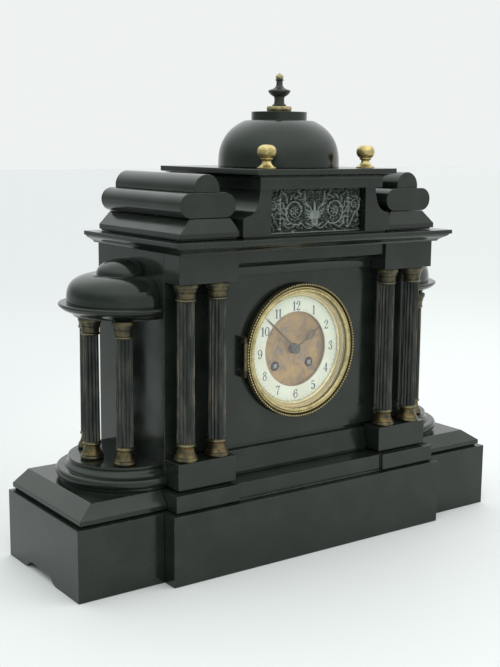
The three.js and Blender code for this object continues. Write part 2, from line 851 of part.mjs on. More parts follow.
// Two long round-ended bars, the narrow one on the wide one
function scrollBars(middle) {
  const bottom = atticBottom + atticGroove + sidePlinthEdge + sidePlinthRise + bed;
  const radius = scrollHeight / 2;
  const straight = scrollWidth / 2 - radius;
  const wide = new THREE.Shape();
  wide.absarc(middle + straight, bottom + radius, radius, -Math.PI / 2, Math.PI / 2);
  wide.absarc(middle - straight, bottom + radius, radius, Math.PI / 2, 3 * Math.PI / 2);
  const topRadius = scrollTopWidth / 2;
  const springing = bottom + scrollHeight + scrollTopUpright;
  const narrow = new THREE.Shape();
  narrow.moveTo(middle - topRadius, bottom + radius);
  narrow.lineTo(middle + topRadius, bottom + radius);
  narrow.absarc(middle, springing, topRadius, 0, Math.PI);
  const front = bodySetback - sidePlinthReach + scrollSetback;
  return join(
    extruded(wide, 'y', front, atticBack, scrollSteps),
    extruded(narrow, 'y', front + scrollTopSetback, atticBack, scrollSteps),
  );
}

function makeScrolls() {
  for (const [name, side] of sides) {
    const plan = onSide(side, {
      left: atticHalfWidth + bed,
      right: bodyHalfWidth,
      front: bodySetback - sidePlinthReach,
      back: atticBack,
    });
    const edgeTop = atticGroove + sidePlinthEdge;
    const [outer, inner] = side < 0 ? ['left', 'right'] : ['right', 'left'];
    const chamfered = (inset, plain) => {
      const levels = [
        [atticRebate, 0],
        [atticRebate, atticGroove],
        [0, atticGroove],
        [0, edgeTop],
        [inset, edgeTop + sidePlinthRise, sidePlinthFront],
      ];
      return moulded(plan, atticBottom, levels, ['back', plain]);
    };
    const plinth = chamfered(sidePlinthOuter, inner).intersect(chamfered(sidePlinthInner, outer));
    add(`attic_plinth_${name}`, plinth, slate);
    add(`scroll_${name}`, scrollBars((plan.left + plan.right) / 2), slate);
  }
}

const finialShares = [
  [0.95, 0], [1, 0.03], [1, 0.11], [0.95, 0.145], [0.53, 0.155], [0.53, 0.185], [0.4, 0.2], [0.4, 0.35],
  [0.5, 0.4], [0.7, 0.44], [0.84, 0.49], [0.87, 0.53], [0.76, 0.56], [0.5, 0.6], [0.3, 0.65], [0.25, 0.69],
  [0.25, 0.8], [0.34, 0.81], [0.34, 0.845], [0.25, 0.86], [0.31, 0.895], [0.2, 0.95],
];
const ballShares = [
  [1, 0], [1, 0.05], [0.86, 0.1], [0.6, 0.18], [0.46, 0.28], [0.43, 0.34], [0.62, 0.4], [0.66, 0.45],
  [0.82, 0.52], [0.97, 0.62], [1, 0.72], [0.94, 0.83], [0.76, 0.93], [0.4, 0.99],
];

function makeTop() {
  const cap = block([-capHalfWidth, capFront, capBottom], [capHalfWidth, atticBack, capTop]);
  add('cap_slab', cap, slate);
  const domeBottom = capTop + bed;
  const discBottom = domeBottom + domeFoot + domeHeight;
  const discTop = discBottom + domeDiscHeight;
  const axis = [0, capFront + domeSetback, 0];
  const dome = [
    [0, domeBottom],
    [domeRadius, domeBottom],
    ...domeCurve(domeRadius, domeRise, domeHeight, domeBottom + domeFoot, domeSquare, 7),
    [domeDiscRadius, discBottom],
    [domeDiscRadius, discTop],
    [0, discTop],
  ];
  add('dome', turned(dome, fineFacets, 'z', axis), slate);
  const finialBottom = discTop + bed;
  const finial = scaled(finialShares, finialRadius, finialHeight, finialBottom);
  const point = [0, finialBottom + finialHeight];
  add('dome_finial', turned([[0, finialBottom], ...finial, point], smallFacets, 'z', axis), brass);
  const ball = scaled(ballShares, ballFinialRadius, ballFinialHeight, domeBottom);
  const ballProfile = [[0, domeBottom], ...ball, [0, domeBottom + ballFinialHeight]];
  for (const [name, side] of sides) {
    const place = [side * (capHalfWidth - ballSideInset), capFront + ballFrontInset, 0];
    add(`ball_finial_${name}`, turned(ballProfile, smallFacets, 'z', place), brass);
  }
}

// Fixed brass ring in the dial panel: flange, hollow slip, tube, seat of the dial and hinge with pin
function bezelRing(dialAxis, hinge) {
  const flangeBack = bodySetback - bed / 3;
  const flangeFront = flangeBack - flangeThickness;
  const tubeOuter = dialHoleRadius - clearance;
  const slipFoot = flangeFront + slipDepth;
  const ledgeFront = bodySetback + chapterSetback + chapterThickness + bed;
  const slip = [];
  for (let i = slipSteps; i >= 0; i -= 1) {
    const angle = (i / slipSteps) * Math.PI / 2;
    const across = (slipRadius - slipInner) * Math.sin(angle);
    slip.push([slipInner + across, slipFoot - slipDepth * (1 - Math.cos(angle))]);
  }
  const profile = [
    ...slip,
    [slipInner, ledgeFront],
    [slipInner - ledgeWidth, ledgeFront],
    [slipInner - ledgeWidth, ledgeFront + ledgeThickness],
    [tubeOuter - tubeWall, ledgeFront + ledgeThickness],
    [tubeOuter - tubeWall, bodySetback + tubeLength],
    [tubeOuter, bodySetback + tubeLength],
    [tubeOuter, flangeBack],
    [flangeRadius, flangeBack],
    [flangeRadius, flangeFront],
  ];
  const regulator = rod(
    regulatorRadius + clearance,
    flangeFront - overrun,
    bodySetback + tubeLength + overrun,
    columnFacets,
    'y',
    [0, 0, dialZ + regulatorRise],
  );
  let ring = cut(turned(profile, fineFacets, 'y', dialAxis), regulator);
  for (const end of [-1, 1]) {
    const from = dialZ + end * (hingeLength / 2);
    const to = from - end * hingeKnuckle;
    const [low, high] = [Math.min(from, to), Math.max(from, to)];
    const knuckle = rod(hingeRadius, low, high, columnFacets, 'z', hinge);
    const leaf = block(
      [hinge[0] - hingeRadius, hinge[1], low],
      [hinge[0] - hingeRadius + hingeLeaf, flangeBack, high],
    );
    const strap = block(
      [hinge[0] - hingeRadius, flangeFront, low],
      [-flangeRadius + hingeStrap, flangeBack, high],
    );
    ring = join(ring, knuckle, leaf, strap);
  }
  const pin = rod(hingePinRadius, dialZ - hingeLength / 2, dialZ + hingeLength / 2, columnFacets, 'z', hinge);
  return join(ring, pin);
}

// Hinged bezel: rolled rim with a rebate for the glass, and the middle knuckle of its hinge
function bezelDoor(dialAxis, hinge) {
  const front = bodySetback - bezelFront;
  const back = front + bezelDepth;
  const glassSeat = front + glassSetback - glassRebate;
  const rimShares = [[0, 0.2], [0.13, 0.06], [0.45, 0], [0.85, 0.08], [1, 0.27]];
  const rimWidth = bezelRadius - bezelOpening;
  const rim = rimShares.map(([across, down]) => [bezelOpening + rimWidth * across, front + bezelDepth * down]);
  const profile = [
    ...rim,
    [bezelRadius, back],
    [glassRadius + clearance, back],
    [glassRadius + clearance, glassSeat],
    [bezelOpening, glassSeat],
  ];
  const halfKnuckle = hingeLength / 2 - hingeKnuckle - clearance;
  const knuckle = rod(hingeRadius, dialZ - halfKnuckle, dialZ + halfKnuckle, columnFacets, 'z', hinge);
  const arm = block(
    [hinge[0], hinge[1] - hingeLeaf, dialZ - halfKnuckle],
    [-bezelRadius + hingeReach, hinge[1] + hingeLeaf, dialZ + halfKnuckle],
  );
  const bore = rod(
    hingePinRadius + clearance,
    dialZ - hingeLength / 2,
    dialZ + hingeLength / 2,
    columnFacets,
    'z',
    hinge,
  );
  return cut(join(turned(profile, fineFacets, 'y', dialAxis), knuckle, arm), bore);
}

function makeBezel() {
  const dialAxis = [0, 0, dialZ];
  const hinge = [-bezelRadius - hingeReach, bodySetback - bezelFront + hingeSetback, 0];
  add('bezel_ring', bezelRing(dialAxis, hinge), brass);
  add('bezel_door', bezelDoor(dialAxis, hinge), brass);
  const glassFront = bodySetback - bezelFront + glassSetback;
  const pane = [
    [0, glassFront],
    [glassRadius - glassBevel, glassFront],
    [glassRadius, glassFront + glassThickness / 2],
    [glassRadius, glassFront + glassThickness],
    [0, glassFront + glassThickness],
  ];
  add('bezel_glass', turned(pane, fineFacets, 'y', dialAxis), glass);
}

function makeDial() {
  const dialAxis = [0, 0, dialZ];
  const front = bodySetback + chapterSetback;
  const back = front + chapterThickness;
  const chapter = [[chapterInner, front], [chapterRadius, front], [chapterRadius, back], [chapterInner, back]];
  add('chapter_ring', turned(chapter, fineFacets, 'y', dialAxis), enamel);
  const rimFront = back + bed;
  const plateBack = rimFront + dialCentreDepth;
  const plateFront = plateBack - dialCentreThickness;
  const dish = [
    [dialCentreBore, plateFront],
    [dialCentreRadius - dialCentreRim, plateFront],
    [dialCentreRadius - dialCentreRim, rimFront],
    [dialCentreRadius, rimFront],
    [dialCentreRadius, plateBack],
    [dialCentreBore, plateBack],
  ];
  const holes = sides.map(([, side]) => rod(
    windingHoleRadius,
    rimFront - overrun,
    plateBack + overrun,
    smallFacets,
    'y',
    [side * windingSpacing, 0, windingZ],
  ));
  add('dial_centre', cut(turned(dish, fineFacets, 'y', dialAxis), ...holes), gilt);
}

// Hands are drawn upright about the dial centre and turned to the time
function hand(outline, front) {
  return extruded(outline, 'y', front, front + handThickness);
}

function makeHands() {
  const minuteFront = bodySetback + minuteSetback;
  const hourFront = bodySetback + hourSetback;
  const arborBack = backPlateY + pivotReach;
  const minuteOutline = [
    [-minuteWidth / 2, -minuteTail],
    [minuteWidth / 2, -minuteTail],
    [minuteWidth / 3, minuteLength / 2],
    [0, minuteLength],
    [-minuteWidth / 3, minuteLength / 2],
  ];
  const arbor = [
    [0, minuteFront - nutHeight],
    [nutRadius, minuteFront - nutHeight],
    [nutRadius, minuteFront],
    [handHub, minuteFront],
    [handHub, minuteFront + handThickness],
    [centreArborRadius, minuteFront + handThickness],
    [centreArborRadius, arborBack],
    [0, arborBack],
  ];
  const minute = join(hand(minuteOutline, minuteFront), turned(arbor, smallFacets, 'y', [0, 0, 0]));
  const minuteMesh = add('minute_hand', minute, bronze);
  minuteMesh.position.set(0, 0, dialZ);
  minuteMesh.rotation.y = (minuteMinutes / 60) * 2 * Math.PI;
  const spadeShares = [[0.18, 0], [0.14, 0.5], [0.5, 0.68], [0.34, 0.8], [0.1, 0.86], [0, 1]];
  const spade = spadeShares.map(([across, along]) => [hourWidth * across, hourLength * along]);
  const other = spade.slice(0, -1).reverse().map(([across, along]) => [-across, along]);
  const tail = [[-hourWidth / 5, -hourTail], [hourWidth / 5, -hourTail]];
  const pipeBore = centreArborRadius + clearance;
  const bossFront = hourFront + handThickness;
  const wheelFront = hourFront + hourPipeLength - hourWheelThickness;
  const pipe = [
    [pipeBore, hourFront],
    [handHub, hourFront],
    [handHub, bossFront],
    [hourBossRadius, bossFront],
    [hourBossRadius, bossFront + hourBossDepth],
    [hourPipeRadius, bossFront + hourBossDepth],
    [hourPipeRadius, wheelFront],
    [hourWheelRadius, wheelFront],
    [hourWheelRadius, hourFront + hourPipeLength],
    [pipeBore, hourFront + hourPipeLength],
  ];
  const boreEnds = [hourFront - overrun, hourFront + hourPipeLength + overrun];
  const bore = rod(pipeBore, ...boreEnds, smallFacets, 'y', [0, 0, 0]);
  const blade = hand([...spade, ...other, ...tail], hourFront);
  const hour = cut(join(blade, turned(pipe, smallFacets, 'y', [0, 0, 0])), bore);
  const hourMesh = add('hour_hand', hour, bronze);
  hourMesh.position.set(0, 0, dialZ);
  hourMesh.rotation.y = ((60 + minuteMinutes) / 720) * 2 * Math.PI;
}

// Round plates on four pillars, with the back cock and the post and nut that carry the bell
function movementFrame() {
  const plate = (radius, front) => rod(radius, front, front + plateThickness, hiddenFacets, 'y', [0, 0, dialZ]);
  let frame = join(plate(frontPlateRadius, frontPlateY), plate(backPlateRadius, backPlateY));
  for (const degrees of pillarAngles) {
    const angle = THREE.MathUtils.degToRad(degrees);
    const place = [pillarCircle * Math.cos(angle), 0, dialZ + pillarCircle * Math.sin(angle)];
    const pillar = rod(
      pillarRadius,
      frontPlateY + plateThickness / 2,
      backPlateY + plateThickness / 2,
      columnFacets,
      'y',
      place,
    );
    frame = join(frame, pillar);
  }
  const cockBottom = anchorZ + suspensionRadius + clearance;
  const cock = block(
    [-cockWidth / 2, backPlateY + plateThickness / 2, cockBottom],
    [cockWidth / 2, backPlateRear + cockDepth, cockBottom + cockHeight],
  );
  const crown = backPlateRear + bellSetback + bellDepth;
  const post = [
    [0, backPlateY + plateThickness / 2],
    [bellNutRadius, backPlateY + plateThickness / 2],
    [bellNutRadius, backPlateRear + bellNutHeight],
    [bellPostRadius, backPlateRear + bellNutHeight],
    [bellPostRadius, crown - bellThickness - bellNutHeight - bed],
    [bellNutRadius, crown - bellThickness - bellNutHeight - bed],
    [bellNutRadius, crown - bellThickness - bed],
    [bellPostRadius, crown - bellThickness - bed],
    [bellPostRadius, crown + bed],
    [bellNutRadius, crown + bed],
    [bellNutRadius, crown + bellNutHeight],
    [0, crown + bellNutHeight],
  ];
  return join(frame, cock, turned(post, columnFacets, 'y', [-bellOffset, 0, bellZ]));
}

// Holes of the arbors that run in the plates, as [radius, x, z]
function arborHoles() {
  const holes = [
    [centreArborRadius, 0, dialZ],
    [arborRadius, 0, anchorZ],
    [arborRadius, 0, anchorZ - escapeDrop],
    [barrelArborRadius, -windingSpacing, windingZ],
    [barrelArborRadius, windingSpacing, windingZ],
    [arborRadius, hammerX, hammerZ],
    [regulatorRadius, 0, dialZ + regulatorRise],
  ];
  const reach = [frontPlateY - overrun, backPlateRear + cockDepth + overrun];
  return holes.map(([radius, x, z]) => rod(radius + clearance, ...reach, holeFacets, 'y', [x, 0, z]));
}

// Spring barrel with its great wheel, arbor and winding square
function barrel(x) {
  const front = frontPlateY + plateThickness + (plateSpacing - barrelLength) / 2;
  const back = front + barrelLength;
  const squareFront = frontPlateY - windingSquareLength;
  const profile = [
    [0, frontPlateY - overrun],
    [barrelArborRadius, frontPlateY - overrun],
    [barrelArborRadius, front],
    [barrelRadius, front],
    [barrelRadius, back - greatWheelThickness],
    [greatWheelRadius, back - greatWheelThickness],
    [greatWheelRadius, back],
    [barrelArborRadius, back],
    [barrelArborRadius, backPlateY + pivotReach],
    [0, backPlateY + pivotReach],
  ];
  const half = windingSquare / 2;
  const square = block(
    [x - half, squareFront, windingZ - half],
    [x + half, frontPlateY - overrun / 2, windingZ + half],
  );
  return join(turned(profile, hiddenFacets, 'y', [x, 0, windingZ]), square);
}

// Toothed escape wheel on its arbor
function escapeWheel() {
  const z = anchorZ - escapeDrop;
  const outline = [];
  for (let i = 0; i < escapeTeeth; i += 1) {
    const tip = (i / escapeTeeth) * 2 * Math.PI;
    const root = ((i + 0.5) / escapeTeeth) * 2 * Math.PI;
    const floor = escapeRadius - escapeToothDepth;
    outline.push([escapeRadius * Math.cos(tip), z + escapeRadius * Math.sin(tip)]);
    outline.push([floor * Math.cos(root), z + floor * Math.sin(root)]);
  }
  const back = backPlateY - escapeFromBack;
  const wheel = extruded(outline, 'y', back - escapeThickness, back);
  const from = frontPlateY + plateThickness - pivotReach;
  return join(wheel, rod(arborRadius, from, backPlateY + pivotReach, columnFacets, 'y', [0, 0, z]));
}

// Anchor with two pallets, its arbor, and the crutch whose fork holds the pendulum rod
function anchor() {
  const wheelZ = anchorZ - escapeDrop;
  const middle = backPlateY - escapeFromBack - escapeThickness / 2;
  const [front, back] = [middle - anchorThickness / 2, middle + anchorThickness / 2];
  const tipAngle = THREE.MathUtils.degToRad(palletSpread);
  const tipReach = escapeRadius + palletGap;
  const tipX = tipReach * Math.sin(tipAngle);
  const tipZ = wheelZ + tipReach * Math.cos(tipAngle);
  const outline = [
    [-tipX, tipZ],
    [-tipX + palletWidth / 2, tipZ + palletWidth],
    [0, anchorZ - palletWidth],
    [tipX - palletWidth / 2, tipZ + palletWidth],
    [tipX, tipZ],
    [tipX + palletWidth, tipZ + palletWidth],
    [palletWidth, anchorZ + palletWidth],
    [-palletWidth, anchorZ + palletWidth],
    [-tipX - palletWidth, tipZ + palletWidth],
  ];
  const pallets = extruded(outline, 'y', front, back);
  const crutchFront = backPlateRear + clearance;
  const crutchBack = crutchFront + crutchThickness;
  const from = frontPlateY + plateThickness - pivotReach;
  const arbor = rod(arborRadius, from, crutchBack, columnFacets, 'y', [0, 0, anchorZ]);
  const forkInner = rodRadius + forkPlay;
  const forkOuter = forkInner + forkWidth;
  const forkBottom = anchorZ - crutchLength;
  const stem = block([-crutchWidth / 2, crutchFront, forkBottom], [crutchWidth / 2, crutchBack, anchorZ]);
  const bridge = block([-forkOuter, crutchFront, forkBottom], [forkOuter, crutchBack, forkBottom + forkHeight]);
  const prongs = sides.map(([, side]) => block(
    [side * forkInner, crutchBack - crutchThickness / 2, forkBottom],
    [side * forkOuter, pendulumY + rodRadius * 2, forkBottom + forkHeight],
  ));
  return join(pallets, arbor, stem, bridge, ...prongs);
}

// Pendulum: suspension block, rod, lens-shaped bob and rating nut
function pendulum() {
  const bobZ = anchorZ - bobDrop;
  const nutTop = anchorZ - ratingNutDrop + ratingNutHeight;
  const lensShares = [
    [0, 0], [0.45, 0.12], [0.85, 0.36], [1, 0.47],
    [1, 0.53], [0.85, 0.64], [0.45, 0.88], [0, 1],
  ];
  const lens = scaled(lensShares, bobRadius, bobThickness, pendulumY - bobThickness / 2);
  const suspension = [pendulumY - suspensionLength / 2, pendulumY + suspensionLength / 2];
  return join(
    rod(rodRadius, anchorZ - rodLength, anchorZ, columnFacets, 'z', [0, pendulumY, 0]),
    rod(suspensionRadius, ...suspension, columnFacets, 'y', [0, 0, anchorZ]),
    turned(lens, hiddenFacets, 'y', [0, 0, bobZ]),
    rod(ratingNutRadius, nutTop - ratingNutHeight, nutTop, columnFacets, 'z', [0, pendulumY, 0]),
  );
}

// Cup bell, mouth forwards, on the post of the back plate
function bell() {
  const mouth = backPlateRear + bellSetback;
  const curve = (radius, depth, steps) => {
    const points = [];
    for (let i = 0; i <= steps; i += 1) {
      const angle = (i / steps) * Math.PI / 2;
      const reach = bellCrownRadius + (radius - bellCrownRadius) * Math.cos(angle);
      points.push([reach, mouth + bellSkirt + (depth - bellSkirt) * Math.sin(angle)]);
    }
    return [...points, [0, mouth + depth]];
  };
  const inside = bellRadius - bellThickness;
  const outer = [[bellRadius, mouth], ...curve(bellRadius, bellDepth, 4)];
  const inner = [[inside, mouth], ...curve(inside, bellDepth - bellThickness, 4)];
  const hole = rod(
    bellPostRadius + clearance,
    mouth,
    mouth + bellDepth + overrun,
    columnFacets,
    'y',
    [-bellOffset, 0, bellZ],
  );
  return cut(turned([...outer, ...inner.reverse()], hiddenFacets, 'y', [-bellOffset, 0, bellZ]), hole);
}

// Hammer that rests beside the bell's rim
function hammer() {
  const y = backPlateRear + hammerSetback;
  const [front, back] = [y - hammerArmThickness / 2, y + hammerArmThickness / 2];
  const head = new THREE.CylinderGeometry(hammerHeadRadius, hammerHeadRadius, hammerHeadLength, columnFacets);
  head.rotateZ(Math.PI / 2);
  head.translate(hammerX, y, bellZ);
  const half = hammerArmWidth / 2;
  const arm = block([hammerX - half, front, hammerZ - half], [hammerX + half, back, bellZ]);
  const arbor = rod(arborRadius, backPlateY, back, columnFacets, 'y', [hammerX, 0, hammerZ]);
  return join(solid(head), arm, arbor);
}

// Long square-ended arbor of the rate regulator, above twelve
function regulatorArbor() {
  const front = bodySetback - bed / 3 - flangeThickness + slipDepth - regulatorForward;
  const half = regulatorRadius * Math.SQRT1_2;
  const z = dialZ + regulatorRise;
  const squareBack = frontPlateY - overrun;
  const square = block([-half, front, z - half], [half, squareBack + overrun / 2, z + half]);
  const shaft = rod(regulatorRadius, squareBack, backPlateRear + cockDepth / 2, columnFacets, 'y', [0, 0, z]);
  return join(square, shaft);
}

function makeMovement() {
  add('movement_frame', cut(movementFrame(), ...arborHoles()), brass);
  add('strike_barrel', barrel(-windingSpacing), brass);
  add('going_barrel', barrel(windingSpacing), brass);
  add('escape_wheel', escapeWheel(), brass);
  add('anchor', anchor(), steel);
  add('pendulum', pendulum(), brass);
  add('bell', bell(), brass);
  add('strike_hammer', hammer(), steel);
  add('regulator_arbor', regulatorArbor(), steel);
}

// Brass ring in the back panel with a hinged door
function makeBackDoor() {
  const dialAxis = [0, 0, dialZ];
  const flangeFront = bodyBack + bed / 3;
  const flangeBack = flangeFront + backFlangeThickness;
  const tubeOuter = backHoleRadius - clearance;
  const tubeFront = flangeFront - backTubeLength;
  const ringProfile = [
    [tubeOuter - backTubeWall, tubeFront],
    [tubeOuter, tubeFront],
    [tubeOuter, flangeFront],
    [backFlangeRadius, flangeFront],
    [backFlangeRadius, flangeBack],
    [tubeOuter - backTubeWall, flangeBack],
  ];
  const doorFront = flangeBack + clearance;
  const doorBack = doorFront + backDoorThickness;
  const hinge = [-backFlangeRadius - backHingeReach, doorFront + backHingeRadius, 0];
  let ring = turned(ringProfile, fineFacets, 'y', dialAxis);
  for (const end of [-1, 1]) {
    const from = dialZ + end * (backHingeLength / 2);
    const to = from - end * backKnuckle;
    const [low, high] = [Math.min(from, to), Math.max(from, to)];
    const knuckle = rod(backHingeRadius, low, high, columnFacets, 'z', hinge);
    const strap = block(
      [hinge[0] - backHingeRadius, flangeFront, low],
      [-backFlangeRadius + backHingeReach * 2, flangeBack, high],
    );
    const leaf = block(
      [hinge[0] - backHingeRadius, flangeFront, low],
      [hinge[0], hinge[1], high],
    );
    ring = join(ring, knuckle, strap, leaf);
  }
  const pin = rod(
    backHingePinRadius,
    dialZ - backHingeLength / 2,
    dialZ + backHingeLength / 2,
    columnFacets,
    'z',
    hinge,
  );
  add('back_ring', join(ring, pin), brass);
  const halfKnuckle = backHingeLength / 2 - backKnuckle - clearance;
  const knuckle = rod(backHingeRadius, dialZ - halfKnuckle, dialZ + halfKnuckle, columnFacets, 'z', hinge);
  const arm = block(
    [hinge[0], doorFront, dialZ - halfKnuckle],
    [-backDoorRadius + backHingeArm, doorBack, dialZ + halfKnuckle],
  );
  const bore = rod(
    backHingePinRadius + clearance,
    dialZ - backHingeLength / 2,
    dialZ + backHingeLength / 2,
    columnFacets,
    'z',
    hinge,
  );
  const knobX = backDoorRadius - backKnobInset;
  const knobEnds = [doorBack - backDoorThickness / 2, doorBack + backKnobLength];
  const knob = rod(backKnobRadius, ...knobEnds, smallFacets, 'y', [knobX, 0, dialZ]);
  const disc = rod(backDoorRadius, doorFront, doorBack, fineFacets, 'y', dialAxis);
  add('back_door', cut(join(disc, knuckle, arm, knob), bore), brass);
}

makeBase();
makeStep();
makePortico();
makeSillAndArchitrave();
makeBody();
makePorticoColumns();
makeTurrets();
makeCornice();
makeAttic();
makeScrolls();
makeTop();
makeBezel();
makeDial();
makeHands();
makeMovement();
makeBackDoor();

// The part's origin is under the middle of its box
const size = new THREE.Box3().setFromObject(clock);
clock.position.y = -(size.min.y + size.max.y) / 2;

export default clock;
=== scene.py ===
"""Looks of a black slate mantel clock with a portico, two side turrets and a dome.

Lengths are written in millimetres in the row frame and turned into metres as a mesh is made.
"""

import json
import math
from contextlib import contextmanager

import bmesh
import bpy
import numpy as np
from mathutils import Matrix, Vector


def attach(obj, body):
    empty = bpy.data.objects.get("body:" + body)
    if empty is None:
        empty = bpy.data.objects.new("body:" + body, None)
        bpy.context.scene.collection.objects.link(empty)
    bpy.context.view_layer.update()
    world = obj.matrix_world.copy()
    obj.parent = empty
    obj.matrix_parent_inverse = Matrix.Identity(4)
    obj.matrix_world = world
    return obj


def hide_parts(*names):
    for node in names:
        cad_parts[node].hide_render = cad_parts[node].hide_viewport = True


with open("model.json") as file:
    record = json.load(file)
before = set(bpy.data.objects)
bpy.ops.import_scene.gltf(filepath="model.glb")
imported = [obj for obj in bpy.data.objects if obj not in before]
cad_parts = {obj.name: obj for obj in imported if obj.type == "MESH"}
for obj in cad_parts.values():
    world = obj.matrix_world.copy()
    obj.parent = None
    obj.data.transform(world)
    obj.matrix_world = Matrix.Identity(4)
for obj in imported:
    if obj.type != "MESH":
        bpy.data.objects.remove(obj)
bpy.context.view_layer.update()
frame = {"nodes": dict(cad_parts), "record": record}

MM = 0.001
SIDES = (("left", -1), ("right", 1))

# Heights and places shared by several pieces
WALL = 161.5  # plane where a turret meets the body
BODY_TOP = 317.0
PANEL_FRONT = -44.45
DIAL_Z = 209.0
WINDING = (22.2, 192.0)  # distance of each winding arbor from the middle, and their height
PIN = (-72.1, -52.05, 0)  # axis of the bezel's hinge
PORTICO_COLUMNS = (("outer", 145.8), ("inner", 109.8))
TURRET = (169.2, 19.05)  # a turret's axis
TURRET_COLUMNS = (("front", 21.2, -37.45), ("middle", 37.6, 0), ("back", 21.2, 37.45))  # from that axis
ATTIC_BACK = 83.55
FRIEZE_FRONT, FRIEZE_BACK, FRIEZE_BOTTOM = -66.4, -61.8, 331.9
RING_SEAT = -44.55  # where the fixed ring stands on the dial panel
ENAMEL_FRONT = -41.85
DOME_AXIS = (0, -7.45, 0)
CAP_TOP = 395.8


# Node graphs


def arithmetic(operation, swapped=False):
    """An operator of a wire, which adds one Math node."""
    if swapped:
        return lambda wire, other: wire.math(operation, other, wire)
    return lambda wire, other: wire.math(operation, wire, other)


class Wire:
    """An output socket on which arithmetic adds Math nodes."""

    def __init__(self, graph, socket):
        self.graph, self.socket = graph, socket

    def math(self, operation, *values):
        return self.graph.node("Math", {"operation": operation}, values)

    def __abs__(self):
        return self.math("ABSOLUTE", self)

    __add__ = __radd__ = arithmetic("ADD")
    __sub__, __rsub__ = arithmetic("SUBTRACT"), arithmetic("SUBTRACT", True)
    __mul__ = __rmul__ = arithmetic("MULTIPLY")
    __truediv__, __pow__ = arithmetic("DIVIDE"), arithmetic("POWER")


class Graph:
    """A node tree that is filled by one method."""

    def __init__(self, tree):
        self.tree = tree

    def node(self, kind, settings=None, values=(), out=None):
        """Adds a node, whose kind leaves out the ShaderNode prefix, and gives one of its outputs."""
        made = self.tree.nodes.new(kind if "Node" in kind else f"ShaderNode{kind}")
        for key, value in (settings or {}).items():
            setattr(made, key, value)
        named = values.items() if isinstance(values, dict) else enumerate(values)
        live = [socket for socket in made.inputs if socket.enabled]
        for key, value in named:
            socket = live[key] if isinstance(key, int) else next(s for s in live if s.name == key)
            self.feed(socket, value)
        fitting = (s for s in made.outputs if s.enabled and out in (None, s.name))
        return next((Wire(self, s) for s in fitting), None)

    def feed(self, socket, value):
        if isinstance(value, Wire):
            self.tree.links.new(value.socket, socket)
        elif isinstance(value, tuple) and len(value) == 3 and socket.type == "RGBA":
            socket.default_value = (*value, 1)
        else:
            socket.default_value = value

    def axis(self, vector, name):
        return self.node("SeparateXYZ", values=[vector], out=name)

    def between(self, value, low, high, start=0.0, end=1.0):
        """A smooth step from start to end while the value goes from low to high."""
        return self.node("MapRange", {"interpolation_type": "SMOOTHSTEP"}, [value, low, high, start, end])

    def mix(self, share, first, second):
        settings = {"data_type": "RGBA", "clamp_factor": True}
        return self.node("Mix", settings, {"Factor": share, "A": first, "B": second})


class Finish(Graph):
    """A material made of nodes. Patterns are measured in millimetres on the object."""

    def __init__(self, name, slot):
        self.material, self.slot = bpy.data.materials.new(name), slot
        self.material.use_nodes = True
        super().__init__(self.material.node_tree)
        self.tree.nodes.clear()
        metres = self.node("TexCoord", out="Object")
        self.place = self.node("VectorMath", {"operation": "SCALE"}, {"Vector": metres, "Scale": 1 / MM})

    def along(self, name):
        return self.axis(self.place, name)

    def stretched(self, x, y, z):
        return self.node("VectorMath", {"operation": "MULTIPLY"}, [self.place, (x, y, z)])

    def noise(self, size, detail=4, rough=0.6, place=None, twist=0.0):
        """Cloudy pattern with features of about the given size in millimetres."""
        values = {"Vector": place or self.place, "Scale": 1 / size}
        values.update({"Detail": detail, "Roughness": rough, "Distortion": twist})
        return self.node("TexNoise", values=values, out="Fac")

    def speck(self, size):
        return self.noise(size, 4, 0.7)

    def attribute(self, name):
        return self.node("Attribute", {"attribute_name": name}, out="Fac")

    def bump(self, height, depth, strength=1.0, below=None):
        values = {"Height": height, "Distance": depth * MM, "Strength": strength}
        if below:
            values["Normal"] = below
        return self.node("Bump", values=values)

    def surface(self, colour, rough, **others):
        """Gives the material and its slot."""
        values = {"Base Color": colour, "Roughness": rough}
        values.update({name.replace("_", " "): value for name, value in others.items()})
        shader = self.node("BsdfPrincipled", values=values)
        self.node("OutputMaterial", values={"Surface": shader})
        return self.material, self.slot


# Finishes


def slate_finish():
    """Oiled black slate: near mirror faces with faint clouds, worn arrises lightened partly as a painted edge
    highlight, and a sawn back.
    """
    f = Finish("polished_slate", "slate")
    cloud, grain = f.noise(38, 5), f.noise(1.6, 4, 0.65)
    colour = f.mix(f.between(cloud, 0.35, 0.68), (0.007, 0.0096, 0.0076), (0.013, 0.0165, 0.0138))
    colour = f.mix(f.between(grain, 0.55, 0.8) * 0.3, colour, (0.024, 0.029, 0.025))
    backward = f.axis(f.node("TexCoord", out="Normal"), "Y")
    back = f.between(backward, 0.9, 0.98) * f.between(f.along("Y"), 70, 73)
    sawn = f.noise(2.2, 4, 0.7, f.stretched(0.25, 1, 1))
    colour = f.mix(back, colour, f.mix(sawn, (0.022, 0.025, 0.023), (0.058, 0.063, 0.059)))
    # worn arrises are lighter: partly wear, partly a painted edge highlight
    worn = f.attribute("edge") * f.between(f.noise(9), 0.5, 0.72)
    colour = f.mix(worn * 0.5, colour, (0.05, 0.056, 0.051))
    smears = f.noise(60, 3, 0.5, f.stretched(0.5, 1, 1.6), 0.6)
    rough = 0.13 + f.between(smears, 0.4, 0.7) * 0.1 + f.between(grain, 0.5, 0.8) * 0.05
    rough = rough + worn * 0.2 + back * 0.45
    cells = f.node("TexVoronoi", values={"Vector": f.place, "Scale": 1 / 1.3}, out="Distance")
    pits = f.bump(f.between(cells, 0.0, 0.22), 0.02, 0.3, f.bump(cloud, 0.35, 0.35))
    normal = f.bump(sawn * back, 0.25, 0.8, pits)
    return f.surface(colour, rough, IOR=1.46, Specular_Tint=(0.93, 1.0, 0.94), Normal=normal)


def tarnish_pattern(f, start, end):
    patch, speck = f.noise(9, 5, 0.62, twist=0.4), f.speck(0.9)
    return patch, speck, f.between(patch + speck * 0.25, start, end)


